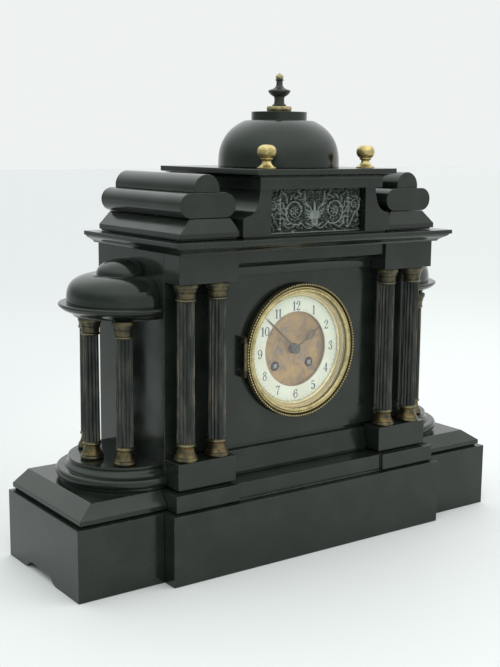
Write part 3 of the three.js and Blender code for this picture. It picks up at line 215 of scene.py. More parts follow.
def brass_finish(name, slot, light, dark, rough, dirt=0.45):
    """Old lacquered brass: bright on open faces, brown and dull in patches."""
    f = Finish(name, slot)
    patch, speck, tarnish = tarnish_pattern(f, dirt + 0.08, dirt + 0.42)
    colour = f.mix(tarnish, light, dark)
    colour = f.mix(f.between(speck, 0.62, 0.8) * 0.5, colour, (0.1, 0.075, 0.035))
    scratches = f.noise(0.5, 3, 0.6, f.stretched(1, 1, 0.12))
    normal = f.bump(scratches + patch * 0.5, 0.04, 0.5)
    return f.surface(colour, rough + tarnish * 0.22 + speck * 0.08, Metallic=1 - tarnish * 0.25, Normal=normal)


def banded_finish(name, slot, light, dark, groove):
    """Turned brass whose rings are darkened by the shade attribute that marks its grooves: painted shade in grooves
    and hollows and round its beads.
    """
    f = Finish(name, slot)
    shade = f.attribute("shade")
    patch, speck, tarnish = tarnish_pattern(f, 0.5, 0.9)
    # the groove colour is painted shade, laid where the shade attribute is high
    colour = f.mix(shade * 0.92, f.mix(tarnish, light, dark), groove)
    normal = f.bump(speck + patch * 0.5, 0.04, 0.5)
    return f.surface(colour, 0.22 + tarnish * 0.18 + shade * 0.12, Metallic=1 - tarnish * 0.2, Normal=normal)


def column_finish():
    """Cast metal, near black with the ribs rubbed grey, and dull olive gilding on foot and head."""
    f = Finish("patinated_columns", "column_bronze")
    bright, rubbed = f.attribute("bright"), f.attribute("rib")
    streak, blot, speck = f.noise(7, place=f.stretched(1, 1, 0.22)), f.noise(8), f.speck(1.1)
    patina = f.mix(f.between(streak, 0.35, 0.7), (0.018, 0.022, 0.02), (0.05, 0.053, 0.048))
    worn = f.mix(f.between(streak, 0.45, 0.66), (0.105, 0.104, 0.09), (0.3, 0.235, 0.15))
    shaft = f.mix(f.between(rubbed + streak * 0.6, 0.95, 1.35) * 0.85, patina, worn)
    gold = f.mix(f.between(blot, 0.34, 0.7), (0.05, 0.047, 0.034), (0.175, 0.14, 0.068))
    gold = f.mix(f.between(rubbed, 0.6, 1.0) * 0.5, gold, (0.2, 0.18, 0.11))
    gold = f.mix(f.between(rubbed, 0.45, 0.15) * f.between(blot, 0.34, 0.6) * 0.8, gold, (0.15, 0.078, 0.024))
    gold = f.mix(f.between(speck, 0.5, 0.75) * 0.5, gold, (0.04, 0.038, 0.03))
    colour = f.mix(bright, shaft, gold)
    return f.surface(colour, 0.27 + speck * 0.16, Metallic=0.6 + bright * 0.3, Normal=f.bump(speck, 0.05, 0.6))


def frieze_finish():
    """Dull pewter-coloured casting, dark in its hollows and silvery where it is rubbed."""
    f = Finish("patinated_relief", "frieze")
    speck, patch = f.speck(0.8), f.noise(14)
    dark = f.mix(patch, (0.034, 0.041, 0.036), (0.062, 0.073, 0.065))
    light = f.mix(patch, (0.18, 0.215, 0.19), (0.31, 0.35, 0.315))
    rub = f.between(f.attribute("relief") + speck * 0.3 + patch * 0.35, 0.45, 1.35)
    rough = 0.5 - rub * 0.14 + speck * 0.12
    return f.surface(f.mix(rub, dark, light), rough, Metallic=0.6 + rub * 0.3, Normal=f.bump(speck, 0.05, 0.6))


def barrel_finish():
    """Brass drums on grey steel arbors that are squared for the key."""
    f = Finish("drum_and_arbor", "brass")
    x, z = abs(f.along("X")) - WINDING[0], f.along("Z") - WINDING[1]
    speck = f.speck(0.9)
    brass = f.mix(speck, (0.62, 0.49, 0.23), (0.46, 0.36, 0.17))
    steel = f.mix(speck, (0.34, 0.36, 0.37), (0.2, 0.21, 0.215))
    colour = f.mix(f.between((x * x + z * z) ** 0.5, 6.0, 5.6), brass, steel)
    return f.surface(colour, 0.26 + speck * 0.12, Metallic=1.0, Normal=f.bump(speck, 0.02, 0.5))


def hand_finish():
    """Hands worn to brown, with blue-black tips and a dark hub."""
    f = Finish("worn_hand_metal", "hand_steel")
    x, z = f.along("X"), f.along("Z") - DIAL_Z
    reach = (x * x + z * z) ** 0.5
    speck = f.speck(1.2)
    colour = f.mix(speck, (0.17, 0.115, 0.062), (0.075, 0.055, 0.036))
    colour = f.mix(f.between(reach, 34, 46), colour, (0.04, 0.04, 0.045))
    colour = f.mix(f.between(reach, 6.2, 5.8), colour, f.mix(speck, (0.048, 0.056, 0.048), (0.1, 0.11, 0.095)))
    return f.surface(colour, 0.3 + speck * 0.16, Metallic=0.85, Normal=f.bump(speck, 0.02, 0.5))


def finial_finish():
    """Blackened turned metal with the gilding left on its foot and its tip."""
    f = Finish("blackened_finial", "brass")
    patch, speck = f.noise(6, 5), f.speck(0.9)
    black = f.mix(patch, (0.02, 0.025, 0.021), (0.062, 0.066, 0.054))
    gold = f.mix(f.between(patch, 0.35, 0.65), (0.46, 0.39, 0.22), (0.24, 0.19, 0.09))
    kept = f.between(f.attribute("bright") + speck * 0.3 + patch * 0.3, 0.55, 1.1)
    colour, normal = f.mix(kept, black, gold), f.bump(speck, 0.04, 0.6)
    return f.surface(colour, 0.34 + speck * 0.16, Metallic=0.6 + kept * 0.35, Normal=normal)


def gilt_finish():
    """Thin old gilding on the dial centre: orange gold with brown and mauve patches, and painted shade where it
    meets the chapter ring.
    """
    f = Finish("worn_gilding", "gilt")
    patch, speck = f.noise(18, 5, twist=0.8), f.noise(1.0, 4, 0.75)
    colour = f.mix(f.between(patch, 0.4, 0.62), (0.47, 0.3, 0.115), (0.3, 0.2, 0.115))
    colour = f.mix(f.between(f.noise(13), 0.54, 0.7), colour, (0.25, 0.195, 0.165))
    colour = f.mix(f.between(speck, 0.6, 0.78) * 0.5, colour, (0.13, 0.085, 0.045))
    # painted shade: darker on the dish's wall beside the chapter ring
    painted_rim_shade = f.between(f.along("Y"), -38.3, -39.6)
    colour = f.mix(painted_rim_shade * 0.6, colour, (0.13, 0.095, 0.055))
    return f.surface(colour, 0.44 + speck * 0.2, Metallic=0.65, Normal=f.bump(speck + patch, 0.05, 0.7))


def enamel_finish():
    f = Finish("white_enamel", "enamel")
    patch, speck = f.noise(24), f.noise(0.7, 3, 0.7)
    colour = f.mix(f.between(patch, 0.35, 0.7), (0.78, 0.82, 0.68), (0.7, 0.73, 0.58))
    colour = f.mix(f.between(speck, 0.66, 0.8) * 0.4, colour, (0.38, 0.34, 0.24))
    return f.surface(colour, 0.22 + speck * 0.08, Coat_Weight=0.3, Normal=f.bump(patch, 0.1, 0.3))


def ink_finish():
    f = Finish("fired_blue_numerals", "enamel")
    speck = f.noise(0.6, 3, 0.7)
    return f.surface(f.mix(speck, (0.036, 0.045, 0.07), (0.085, 0.1, 0.13)), 0.3 + speck * 0.1)


def steel_finish(name, slot, light, dark):
    f = Finish(name, slot)
    speck, patch = f.speck(1.2), f.noise(8)
    colour = f.mix(f.between(patch + speck * 0.3, 0.5, 0.8), light, dark)
    return f.surface(colour, 0.26 + speck * 0.16, Metallic=0.95, Normal=f.bump(speck, 0.02, 0.5))


def glass_finish():
    f = Finish("bezel_pane", "glass")
    rough = 0.02 + f.between(f.noise(30, 3, 0.5), 0.5, 0.8) * 0.04
    return f.surface((1, 1, 1), rough, IOR=1.5, Alpha=0.06)


FINISHES = {
    "slate": slate_finish(),
    "brass": brass_finish("aged_brass", "brass", (0.66, 0.54, 0.27), (0.3, 0.235, 0.12), 0.2),
    # the last colour of each banded finish, rim and slip, is its painted shade
    "rim": banded_finish("milled_rim_brass", "brass", (0.56, 0.47, 0.24), (0.3, 0.24, 0.12), (0.05, 0.042, 0.022)),
    # near-black ferrules: dark metal whose tone also holds painted shade of the winding holes
    "ferrule_shade": steel_finish("dark_ferrules", "gilt", (0.075, 0.07, 0.06), (0.03, 0.03, 0.028)),
    "hinge": brass_finish("dull_brass", "brass", (0.13, 0.11, 0.075), (0.05, 0.045, 0.035), 0.42, 0.3),
    "slip": banded_finish("gilt_slip", "gilt", (0.78, 0.71, 0.42), (0.6, 0.53, 0.29), (0.6, 0.46, 0.2)),
    "barrel": barrel_finish(),
    "ball": brass_finish("pale_gilding", "brass", (0.6, 0.49, 0.22), (0.24, 0.18, 0.07), 0.24, 0.42),
    "works": brass_finish("movement_brass", "brass", (0.66, 0.52, 0.25), (0.42, 0.33, 0.16), 0.27, 0.5),
    "column": column_finish(),
    "frieze": frieze_finish(),
    "finial": finial_finish(),
    "gilt": gilt_finish(),
    "enamel": enamel_finish(),
    "ink": ink_finish(),
    "steel": steel_finish("grey_steel", "steel", (0.5, 0.5, 0.49), (0.2, 0.19, 0.18)),
    "hand": hand_finish(),
    "glass": glass_finish(),
}


# Objects and meshes


def linked(name, data):
    """A new object in the scene."""
    made = bpy.data.objects.new(name, data)
    bpy.context.scene.collection.objects.link(made)
    return made


def shown(name, mesh, finish, body="root", replaced=None):
    """Puts a finished mesh in the scene as a piece of the clock."""
    material, slot = FINISHES[finish]
    mesh.materials.append(material)
    piece = linked(name, mesh)
    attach(piece, body)
    if replaced:
        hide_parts(replaced)


def stone(node, mesh):
    shown(f"{node}_stone", mesh, "slate", replaced=node)


@contextmanager
def editing(mesh):
    """A bmesh of the mesh, which is written back at the end."""
    work = bmesh.new()
    work.from_mesh(mesh)
    yield work
    work.to_mesh(mesh)
    work.free()


def smoothed(mesh, flat=30):
    """Smooth shading across edges under an angle in degrees."""
    mesh.shade_smooth()
    mesh.set_sharp_from_angle(angle=math.radians(flat))
    return mesh


def weld(work):
    bmesh.ops.remove_doubles(work, verts=work.verts, dist=0.002 * MM)


def tidied(mesh, flat=30):
    with editing(mesh) as work:
        weld(work)
        bmesh.ops.recalc_face_normals(work, faces=work.faces)
    return smoothed(mesh, flat)


def closed_mesh(points, faces, flat=30):
    """A mesh from millimetre points, welded and facing outwards."""
    mesh = bpy.data.meshes.new("made")
    mesh.from_pydata((np.array(points, float) * MM).tolist(), [], faces)
    return tidied(mesh, flat)


def copied(node):
    """A welded copy of a CAD node's mesh with its flat faces made whole."""
    mesh = frame["nodes"][node].data.copy()
    mesh.materials.clear()
    with editing(mesh) as work:
        weld(work)
        bmesh.ops.dissolve_limit(work, angle_limit=math.radians(0.6), verts=work.verts, edges=work.edges)
    return smoothed(mesh, 28)


def joined(*meshes):
    """One mesh of several, each keeping its own attributes."""
    work = bmesh.new()
    for mesh in meshes:
        work.from_mesh(mesh)
    mesh = bpy.data.meshes.new("joined")
    work.to_mesh(mesh)
    work.free()
    return mesh


def realized(holder, layers=False):
    """The plain mesh of an object after its modifiers. The object is removed."""
    graph = bpy.context.evaluated_depsgraph_get()
    made = holder.evaluated_get(graph)
    mesh = bpy.data.meshes.new_from_object(made, preserve_all_data_layers=layers, depsgraph=graph)
    bpy.data.objects.remove(holder)
    return mesh


def evaluated(mesh, *modifiers):
    """The mesh after modifiers given as (kind, settings)."""
    holder = linked("holder", mesh)
    for kind, settings in modifiers:
        modifier = holder.modifiers.new(kind.lower(), kind)
        for key, value in settings.items():
            setattr(modifier, key, value)
    return realized(holder, True)


def cut(mesh, *tools):
    """The mesh less the tools."""
    holders = [linked("cutter", tool) for tool in tools]
    how = {"operation": "DIFFERENCE", "solver": "EXACT"}
    result = tidied(evaluated(mesh, *[("BOOLEAN", {"object": holder, **how}) for holder in holders]))
    for holder in holders:
        bpy.data.objects.remove(holder)
    return result


def softened(mesh, width=0.4, segments=2, angle=28):
    """Rounds the sharp edges and marks the rounded faces with the attribute that wear and the painted edge
    highlight follow.
    """
    blank = bpy.data.materials.new("blank")
    mesh.materials.clear()
    mesh.materials.append(blank)
    mesh.materials.append(blank)
    bevel = {"width": width * MM, "segments": segments, "limit_method": "ANGLE", "angle_limit": math.radians(angle)}
    bevel.update({"material": 1, "miter_outer": "MITER_ARC"})
    rounded = evaluated(mesh, ("BEVEL", bevel), ("WEIGHTED_NORMAL", {"keep_sharp": True}))
    marks = np.zeros(len(rounded.polygons), np.int32)
    rounded.polygons.foreach_get("material_index", marks)
    rounded.attributes.new("edge", "FLOAT", "FACE").data.foreach_set("value", marks.astype(np.float32))
    rounded.polygons.foreach_set("material_index", np.zeros_like(marks))
    rounded.materials.clear()
    bpy.data.materials.remove(blank)
    return rounded


def painted(mesh, **values):
    """Gives the points of a mesh named values that its finish reads."""
    for name, value in values.items():
        layer = mesh.attributes.get(name) or mesh.attributes.new(name, "FLOAT", "POINT")
        layer.data.foreach_set("value", np.broadcast_to(np.asarray(value, np.float32), len(mesh.vertices)).copy())
    return mesh


def places(mesh):
    """The mesh's points in millimetres."""
    points = np.empty(len(mesh.vertices) * 3)
    mesh.vertices.foreach_get("co", points)
    return points.reshape(-1, 3) / MM


def moved(mesh, x=0.0, y=0.0, z=0.0, turn=None):
    """A copy of a mesh at a place in millimetres, turned first if a matrix is given."""
    mesh = mesh.copy()
    mesh.transform(Matrix.Translation(Vector((x, y, z)) * MM) @ (turn or Matrix.Identity(4)))
    return mesh


# Outlines and solids


def bow(start, control, end, steps=8):
    """Points of a curve from start to end, drawn towards a control point."""
    share = np.linspace(0, 1, steps + 1)[:, None]
    curve = (1 - share) ** 2 * np.array(start) + 2 * share * (1 - share) * np.array(control)
    return [tuple(point) for point in curve + share**2 * np.array(end)]


def wave(start, end, steps):
    """A cyma between two (radius or inset, height) points."""
    share = np.linspace(0, 1, steps + 1)
    swing = (1 - np.cos(share * math.pi)) / 2
    (near, low), (far, high) = start, end
    return [(near + (far - near) * s, low + (high - low) * h) for s, h in zip(swing, share)]


def arc(x, z, across, up, start, end, count):
    """Points of an ellipse from one angle in degrees to another."""
    angles = np.radians(np.linspace(start, end, count))
    return [(x + across * math.cos(a), z + up * math.sin(a)) for a in angles]


def domed(radius, rise, height, bottom, power, steps=18):
    """A dome's profile from its foot to a height, as a superellipse."""
    up = height * np.sin(np.linspace(0, math.pi / 2, steps + 1))
    reach = radius * (1 - (up / rise) ** power) ** (1 / power)
    return [(r, bottom + z) for r, z in zip(reach, up)]


def traced(low, *parts):
    """A profile above a height, from points, waves as (start, end, steps) and bows of four values."""
    profile = []
    for part in parts:
        profile += [part] if len(part) == 2 else (wave if len(part) == 3 else bow)(*part)
    return [(reach, low + height) for reach, height in profile]


def both_sides(half, *tip):
    """A right-hand outline, a tip if there is one, and the mirror image back to the start."""
    return [*half, *tip, *[(-x, y) for x, y in reversed(half)]]


def rectangle(left, right, low, high):
    return [(left, low), (right, low), (right, high), (left, high)]


def turned_piece(profile, segments=96, centre=(0, 0, 0), axis="Z"):
    """A turned mesh. The profile runs from pole to pole, or round a ring and back to its start."""
    angles = np.linspace(0, 2 * math.pi, segments, endpoint=False)
    points, faces, rows = [], [], []
    loop = profile if profile[0][0] == 0 else [*profile, profile[0]]
    for radius, place in loop:
        rows.append(len(points) if radius > 0 else -1 - len(points))
        for angle in angles if radius > 0 else (0,):
            u, v = radius * math.cos(angle), radius * math.sin(angle)
            local = (u, v, place) if axis == "Z" else (u, place, v)
            points.append([a + b for a, b in zip(local, centre)])
    for low, high in zip(rows, rows[1:]):
        for i in range(segments):
            j = (i + 1) % segments
            if low >= 0 and high >= 0:
                faces.append((low + i, low + j, high + j, high + i))
            elif low >= 0:
                faces.append((low + i, low + j, -1 - high))
            elif high >= 0:
                faces.append((-1 - low, high + j, high + i))
    return closed_mesh(points, faces)


def faced(profile, segments, x=0, z=DIAL_Z):
    """A mesh turned about an axis that points forward, on the dial's axis unless a place is given."""
    return turned_piece(profile, segments, (x, 0, z), "Y")


def drawn_out(outline, axis, start, end):
    """An outline drawn out along an axis; outlines are (Y, Z) along X and (X, Z) along Y."""
    count = len(outline)
    points = []
    for place in (start, end):
        points += [(place, u, v) if axis == "X" else (u, place, v) for u, v in outline]
    faces = [tuple(range(count)), tuple(range(count, 2 * count))]
    faces += [(i, (i + 1) % count, count + (i + 1) % count, count + i) for i in range(count)]
    return closed_mesh(points, faces)


def moulded(left, right, front, back, bottom, levels):
    """A block with (inset, height) levels round its left, front and right sides."""
    points = []
    for inset, height in levels:
        corners = rectangle(left + inset, right - inset, front + inset, back)
        points += [(x, y, bottom + height) for x, y in corners]
    last = 4 * (len(levels) - 1)
    sides = [(row, i, (i + 1) % 4) for row in range(0, last, 4) for i in range(4)]
    faces = [(row + i, row + j, row + 4 + j, row + 4 + i) for row, i, j in sides]
    return closed_mesh(points, [*faces, (0, 1, 2, 3), tuple(range(last, last + 4))])


def sliced(mesh, plane_x, side):
    """Keeps what lies outside the wall plane on one side and closes the cut."""
    with editing(mesh) as work:
        plane = {"plane_co": (side * plane_x * MM, 0, 0), "plane_no": (-side, 0, 0), "clear_outer": True}
        bmesh.ops.bisect_plane(work, geom=[*work.verts, *work.edges, *work.faces], **plane)
        bmesh.ops.holes_fill(work, edges=[edge for edge in work.edges if edge.is_boundary])
    return tidied(mesh)


# Repeats made by geometry nodes


def repeat_tree(build, sizes):
    """A geometry tree with named inputs: build gets the graph and its inputs, and gives geometry."""
    tree = bpy.data.node_groups.new(build.__name__, "GeometryNodeTree")
    for label, value in sizes.items():
        kind = "NodeSocketInt" if isinstance(value, int) else "NodeSocketFloat"
        tree.interface.new_socket(label, in_out="INPUT", socket_type=kind)
    tree.interface.new_socket("Geometry", in_out="OUTPUT", socket_type="NodeSocketGeometry")
    graph = Graph(tree)
    entry = tree.nodes.new("NodeGroupInput")
    inputs = {socket.name: Wire(graph, socket) for socket in entry.outputs if socket.name}
    shape = graph.node("GeometryNodeRealizeInstances", values={"Geometry": build(graph, inputs)})
    graph.node("NodeGroupOutput", values={"Geometry": shape})
    return tree


def repeated(build, sizes):
    """The plain mesh that a geometry tree makes from its sizes in millimetres."""
    tree = bpy.data.node_groups.get(build.__name__) or repeat_tree(build, sizes)
    holder = linked("holder", bpy.data.meshes.new("empty"))
    modifier = holder.modifiers.new("repeat", "NODES")
    modifier.node_group = tree
    for item in tree.interface.items_tree:
        if item.in_out == "INPUT":
            modifier[item.identifier] = sizes[item.name]
    mesh = realized(holder)
    mesh.materials.clear()  # mesh primitives leave an empty slot
    mesh.transform(Matrix.Scale(MM, 4))
    mesh.shade_smooth()
    return mesh


def ring_of_beads(graph, given):
    """Small rounded studs set on a circle that faces forward."""
    circle = graph.node("GeometryNodeMeshCircle", values={"Vertices": given["Count"], "Radius": given["Circle"]})
    shape = {"Segments": 8, "Rings": 5, "Radius": given["Bead"]}
    bead = graph.node("GeometryNodeMeshUVSphere", values=shape, out="Mesh")
    flat = graph.node("CombineXYZ", values=[1.0, 1.0, given["Flatness"]])
    ring = graph.node("GeometryNodeInstanceOnPoints", values={"Points": circle, "Instance": bead, "Scale": flat})
    lifted = graph.node("CombineXYZ", values=[0.0, given["Forward"] * -1, 0.0])
    settled = {"Geometry": ring, "Translation": lifted, "Rotation": (math.pi / 2, 0, 0)}
    return graph.node("GeometryNodeTransform", values=settled)


def fluted_shaft(graph, given):
    """A shaft whose radius dips in round hollows between narrow ribs."""
    shape = {"Vertices": given["Flutes"] * 12, "Side Segments": 40, "Radius": given["Radius"]}
    shape["Depth"] = given["Height"]
    shaft = graph.node("GeometryNodeMeshCylinder", {"fill_type": "NGON"}, shape, "Mesh")
    place = graph.node("GeometryNodeInputPosition")
    x, y, z = [graph.axis(place, name) for name in "XYZ"]
    half = graph.node("Math", {"operation": "ARCTAN2"}, [y, x]) * given["Flutes"] * 0.5
    hollow = abs(half.math("SINE", half)) ** 0.75
    swell = 1 - (z / given["Height"] + 0.5) * given["Taper"]
    reach = (1 - hollow * given["Hollow"] / given["Radius"]) * swell
    up = z + given["Height"] * 0.5 + given["Bottom"]
    target = graph.node("CombineXYZ", values=[x * reach, y * reach, up])
    shaped = graph.node("GeometryNodeSetPosition", values={"Geometry": shaft, "Position": target})
    stored = {"Geometry": shaped, "Name": "rib", "Value": 1 - hollow}
    return graph.node("GeometryNodeStoreNamedAttribute", {"data_type": "FLOAT", "domain": "POINT"}, stored)


# Stonework


def make_flat_stones():
    """Blocks and slabs whose flat faces come from the CAD, with softened arrises that are worn and carry a painted
    edge highlight.
    """
    nodes = ["base_centre_block", "plinth_step", "dial_sill", "dial_panel", "back_panel", "cap_slab"]
    paired = ("base_wing", "wing_slab", "pedestal", "impost", "side_panel", "attic_plinth")
    for node in [*nodes, *[f"{name}_{side}" for side, _ in SIDES for name in paired]]:
        stone(node, softened(copied(node)))


def make_architrave():
    front, back, lip = -68.85, PANEL_FRONT - 0.3, BODY_TOP - 11.5
    cove = bow((front + 0.6, lip), (front + 21.4, lip), (front + 21.4, lip - 15), 20)
    beam = [(front, BODY_TOP), (front, lip), *cove, (back, lip - 15), (back, BODY_TOP)]
    stone("architrave", softened(drawn_out(beam, "X", -94.1, 94.1)))


def make_cornice():
    levels = [*wave((11, 0), (2, 8), 16), (0, 8), (0, 12.3)]
    stone("cornice", softened(moulded(-174.3, 174.3, -89.15, 92.45, BODY_TOP + 0.3, levels), 0.45))


def make_attic():
    """Attic block with hollow cheeks and a recess for the relief, under a wider band."""
    bottom, ledge, shoulder, top = 329.9, 350.6, 375.5, 390.0
    half = [(90.7, bottom), (90.7, bottom + 1.7), (93.2, bottom + 1.7), (93.2, ledge - 2)]
    half += [*bow((89.6, ledge), (74.7, ledge + 1.2), (73.5, shoulder), 24), (72.7, shoulder), (72.7, shoulder + 1)]
    block = drawn_out(both_sides(half), "Y", -76.85, ATTIC_BACK)
    recess = drawn_out(rectangle(-60, 60, 331.6, 376.0), "Y", -80, -61.5)
    groove = drawn_out(rectangle(-96, 96, 327, bottom + 1.7), "Y", -80, -74.35)
    levels = [(9, 0), (9, 9.4), *bow((8.6, 10.2), (6.8, 13.2), (0, top - shoulder - 0.8), 10)]
    band = softened(moulded(-86.4, 86.4, -91.65, ATTIC_BACK, shoulder + 0.8, levels))
    stone("attic_block", joined(softened(cut(block, recess, groove)), band))


def make_scrolls():
    """Pairs of long round-ended bars beside the attic, the half-round one bedded on the wide one."""
    bottom, radius, narrow, straight = 350.1, 11.85, 14.5, 31.15 - 11.85
    bedding = bottom + 2 * radius
    for name, side in SIDES:
        middle = side * 127.35
        ends = ((middle + straight, -90), (middle - straight, 90))
        outline = []
        for x, start in ends:
            outline += arc(x, bottom + radius, radius, radius, start, start + 180, 37)
        wide = softened(drawn_out(outline, "Y", -69.25, ATTIC_BACK), 0.5)
        arch = [(middle - narrow, bedding - 0.1), (middle + narrow, bedding - 0.1)]
        arch += arc(middle, bedding + 2.5, narrow, narrow, 0, 180, 41)
        slim = softened(drawn_out(arch, "Y", -66.75, ATTIC_BACK), 0.6)
        stone(f"scroll_{name}", joined(wide, slim))


def make_turrets():
    low = 88.8
    base = [(0, low), (66, low), (66, low + 3), *arc(67, low + 7.5, 3, 4.5, -90, 90, 17), (62.2, low + 12.1)]
    lip = ((57.4, 107.7), (57.9, 109.0), (57.2, 110.4), 6)
    base += traced(0, ((61, 100.9), (56.8, 107.0), 12), (57.0, 107.4), lip)
    base += [(0, 110.4)]
    roof = traced(252.0, (0, 0), ((50, 0), (62.4, 8.9), 14), (62.6, 9.2))
    under, over = ((63.0, 261.2), (64.5, 261.3), (64.5, 262.8), 6), ((64.5, 263.2), (64.4, 264.6), (62.6, 264.7), 6)
    roof += traced(0, under, over)
    roof += [*domed(56.5, 29.5, 28, 264.7, 3.3, 26), *domed(26.8, 14.5, 14.49, 292.7, 2, 22)[:-1], (0, 307.2)]
    for name, side in SIDES:
        centre = (side * TURRET[0], TURRET[1], 0)
        for part, profile in (("base", base), ("roof", roof)):
            stone(f"turret_{part}_{name}", softened(sliced(turned_piece(profile, 144, centre), WALL, side)))


def make_dome():
    dome = [(0, CAP_TOP), (62.6, CAP_TOP), *domed(62.6, 50.8, 45.2, CAP_TOP + 1.6, 2.45, 34)]
    dome += [(28.6, 442.6), (28.6, 451.5), (0, 451.5)]
    stone("dome", softened(turned_piece(dome, 160, DOME_AXIS)))


# Columns and finials


def ribbed(profile, bright):
    """A turned end of a column: its mark follows how far each ring stands out from its neighbours."""
    rings = {}
    for radius, height in profile:
        rings.setdefault(round(height, 1), []).append(radius)
    heights = np.array(sorted(rings))
    reach = np.array([max(rings[h]) for h in heights])
    around = np.array([reach[abs(heights - h) < 3.2].mean() for h in heights])
    mesh = turned_piece(profile, 64)
    stand = np.interp(places(mesh)[:, 2], heights, reach - around)
    return painted(mesh, bright=bright, rib=np.clip(0.5 + stand * 0.45, 0, 1))


def column_mesh(height):
    """Fluted shaft between a bell-shaped foot and its counterpart as a head, standing on the origin."""
    foot = [(0, 0), (11.2, 0), ((11.5, 0.1), (12.7, 1.7), (11.6, 3.4), 9), (11.1, 3.7)]
    foot += [((11.2, 3.9), (11.4, 4.8), (10.7, 5.4), 5), ((10.3, 5.7), (8.6, 8.6), (8.2, 12.9), 10)]
    foot += [(7.9, 13.2), (7.9, 13.9), (8.5, 14.1), ((8.9, 14.2), (10.6, 15.5), (8.9, 16.8), 10)]
    foot += [(8.6, 17.0), (8.6, 17.6), (0, 18.0)]
    head = [(0, 0), (8.6, 0.3), ((8.9, 0.5), (11.0, 1.8), (8.9, 3.1), 10), (9.0, 3.3)]
    head += [((9.2, 3.6), (9.0, 7.6), (10.2, 9.0), 10), (9.7, 9.3), (9.7, 9.9)]
    head += [((10.2, 10.1), (10.9, 12.6), (11.9, 13.9), 8), (12.0, 14.1), (12.0, 16.4)]
    head += [(11.7, 17.2), (11.5, 17.4), (0, 17.4)]
    sizes = {"Radius": 8.75, "Height": height - 32, "Bottom": 16.0, "Flutes": 16, "Hollow": 1.2, "Taper": 0.05}
    shaft = repeated(fluted_shaft, sizes)
    shaft.set_sharp_from_angle(angle=math.radians(50))
    painted(shaft, bright=0.0)
    return joined(shaft, ribbed(traced(0, *foot), 1.0), ribbed(traced(height - 17.4, *head), 0.7))


def make_columns():
    tall, short = column_mesh(172.0), column_mesh(141.0)
    slim = Matrix.Diagonal((0.96, 0.96, 1, 1))
    for side, sign in SIDES:
        for place, x in PORTICO_COLUMNS:
            node = f"portico_column_{side}_{place}"
            shown(f"{node}_cast", moved(tall, sign * x, -58.45, 116.8), "column", replaced=node)
        for place, outward, offset in TURRET_COLUMNS:
            node = f"turret_column_{side}_{place}"
            x, y = sign * (TURRET[0] + outward), TURRET[1] + offset
            shown(f"{node}_cast", moved(short, x, y, 110.7, slim), "column", replaced=node)


def make_finials():
    low = 451.8
    finial = [(0, 0), (11.6, 0), ((12.2, 0.3), (13.6, 2.8), (12.2, 5.2), 12), (7.4, 5.8)]
    finial += [((7.0, 6.0), (7.2, 6.8), (6.6, 7.3), 5), ((5.6, 7.7), (4.9, 10.5), (5.2, 13.6), 8)]
    finial += [((5.7, 15.0), (9.2, 16.6), (11.1, 19.6), 10), ((11.4, 20.2), (11.5, 21.4), (10.0, 21.9), 6)]
    finial += [((6.6, 23.0), (4.0, 24.4), (3.3, 26.8), 9), (3.2, 30.8), ((3.6, 31.0), (5.2, 31.8), (3.6, 32.7), 6)]
    finial += [((3.3, 33.0), (4.9, 35.0), (2.9, 36.8), 8), ((2.2, 37.3), (1.2, 37.8), (0.7, 38.5), 5), (0, 38.6)]
    mesh = turned_piece(traced(low, *finial), 80, DOME_AXIS)
    painted(mesh, bright=np.interp(places(mesh)[:, 2] - low, [5.4, 5.7, 32.8, 33.4], [1, 0, 0, 0.8]))
    shown("dome_finial_brass", mesh, "finial", replaced="dome_finial")
    ball = [(0, 0), (9.2, 0), (9.4, 0.3), (9.4, 1.0), ((8.8, 1.4), (4.6, 3.6), (4.1, 7.2), 12)]
    ball += [((4.6, 7.8), (6.6, 8.8), (5.9, 9.8), 6), ((6.2, 10.3), (8.9, 11.8), (9.35, 15.2), 10)]
    ball += [*bow((9.4, 16.2), (9.2, 21.4), (3.6, 22.7), 14)[1:], (0, 22.9)]
    for side, sign in SIDES:
        mesh = turned_piece(traced(CAP_TOP, *ball), 72, (sign * 62.5, -71.85, 0))
        shown(f"ball_finial_{side}_brass", mesh, "ball", replaced=f"ball_finial_{side}")


# Relief


def polar(x, z, radius, degrees):
    angle = math.radians(degrees)
    return x + radius * math.cos(angle), z + radius * math.sin(angle)


def bent(x, z, degrees, length, steps, curl):
    """Points of a path that turns by curl degrees as it goes."""
    path = [(x, z)]
    for i in range(1, steps + 1):
        path.append(polar(*path[-1], length / steps, degrees + curl * i / steps))
    return path


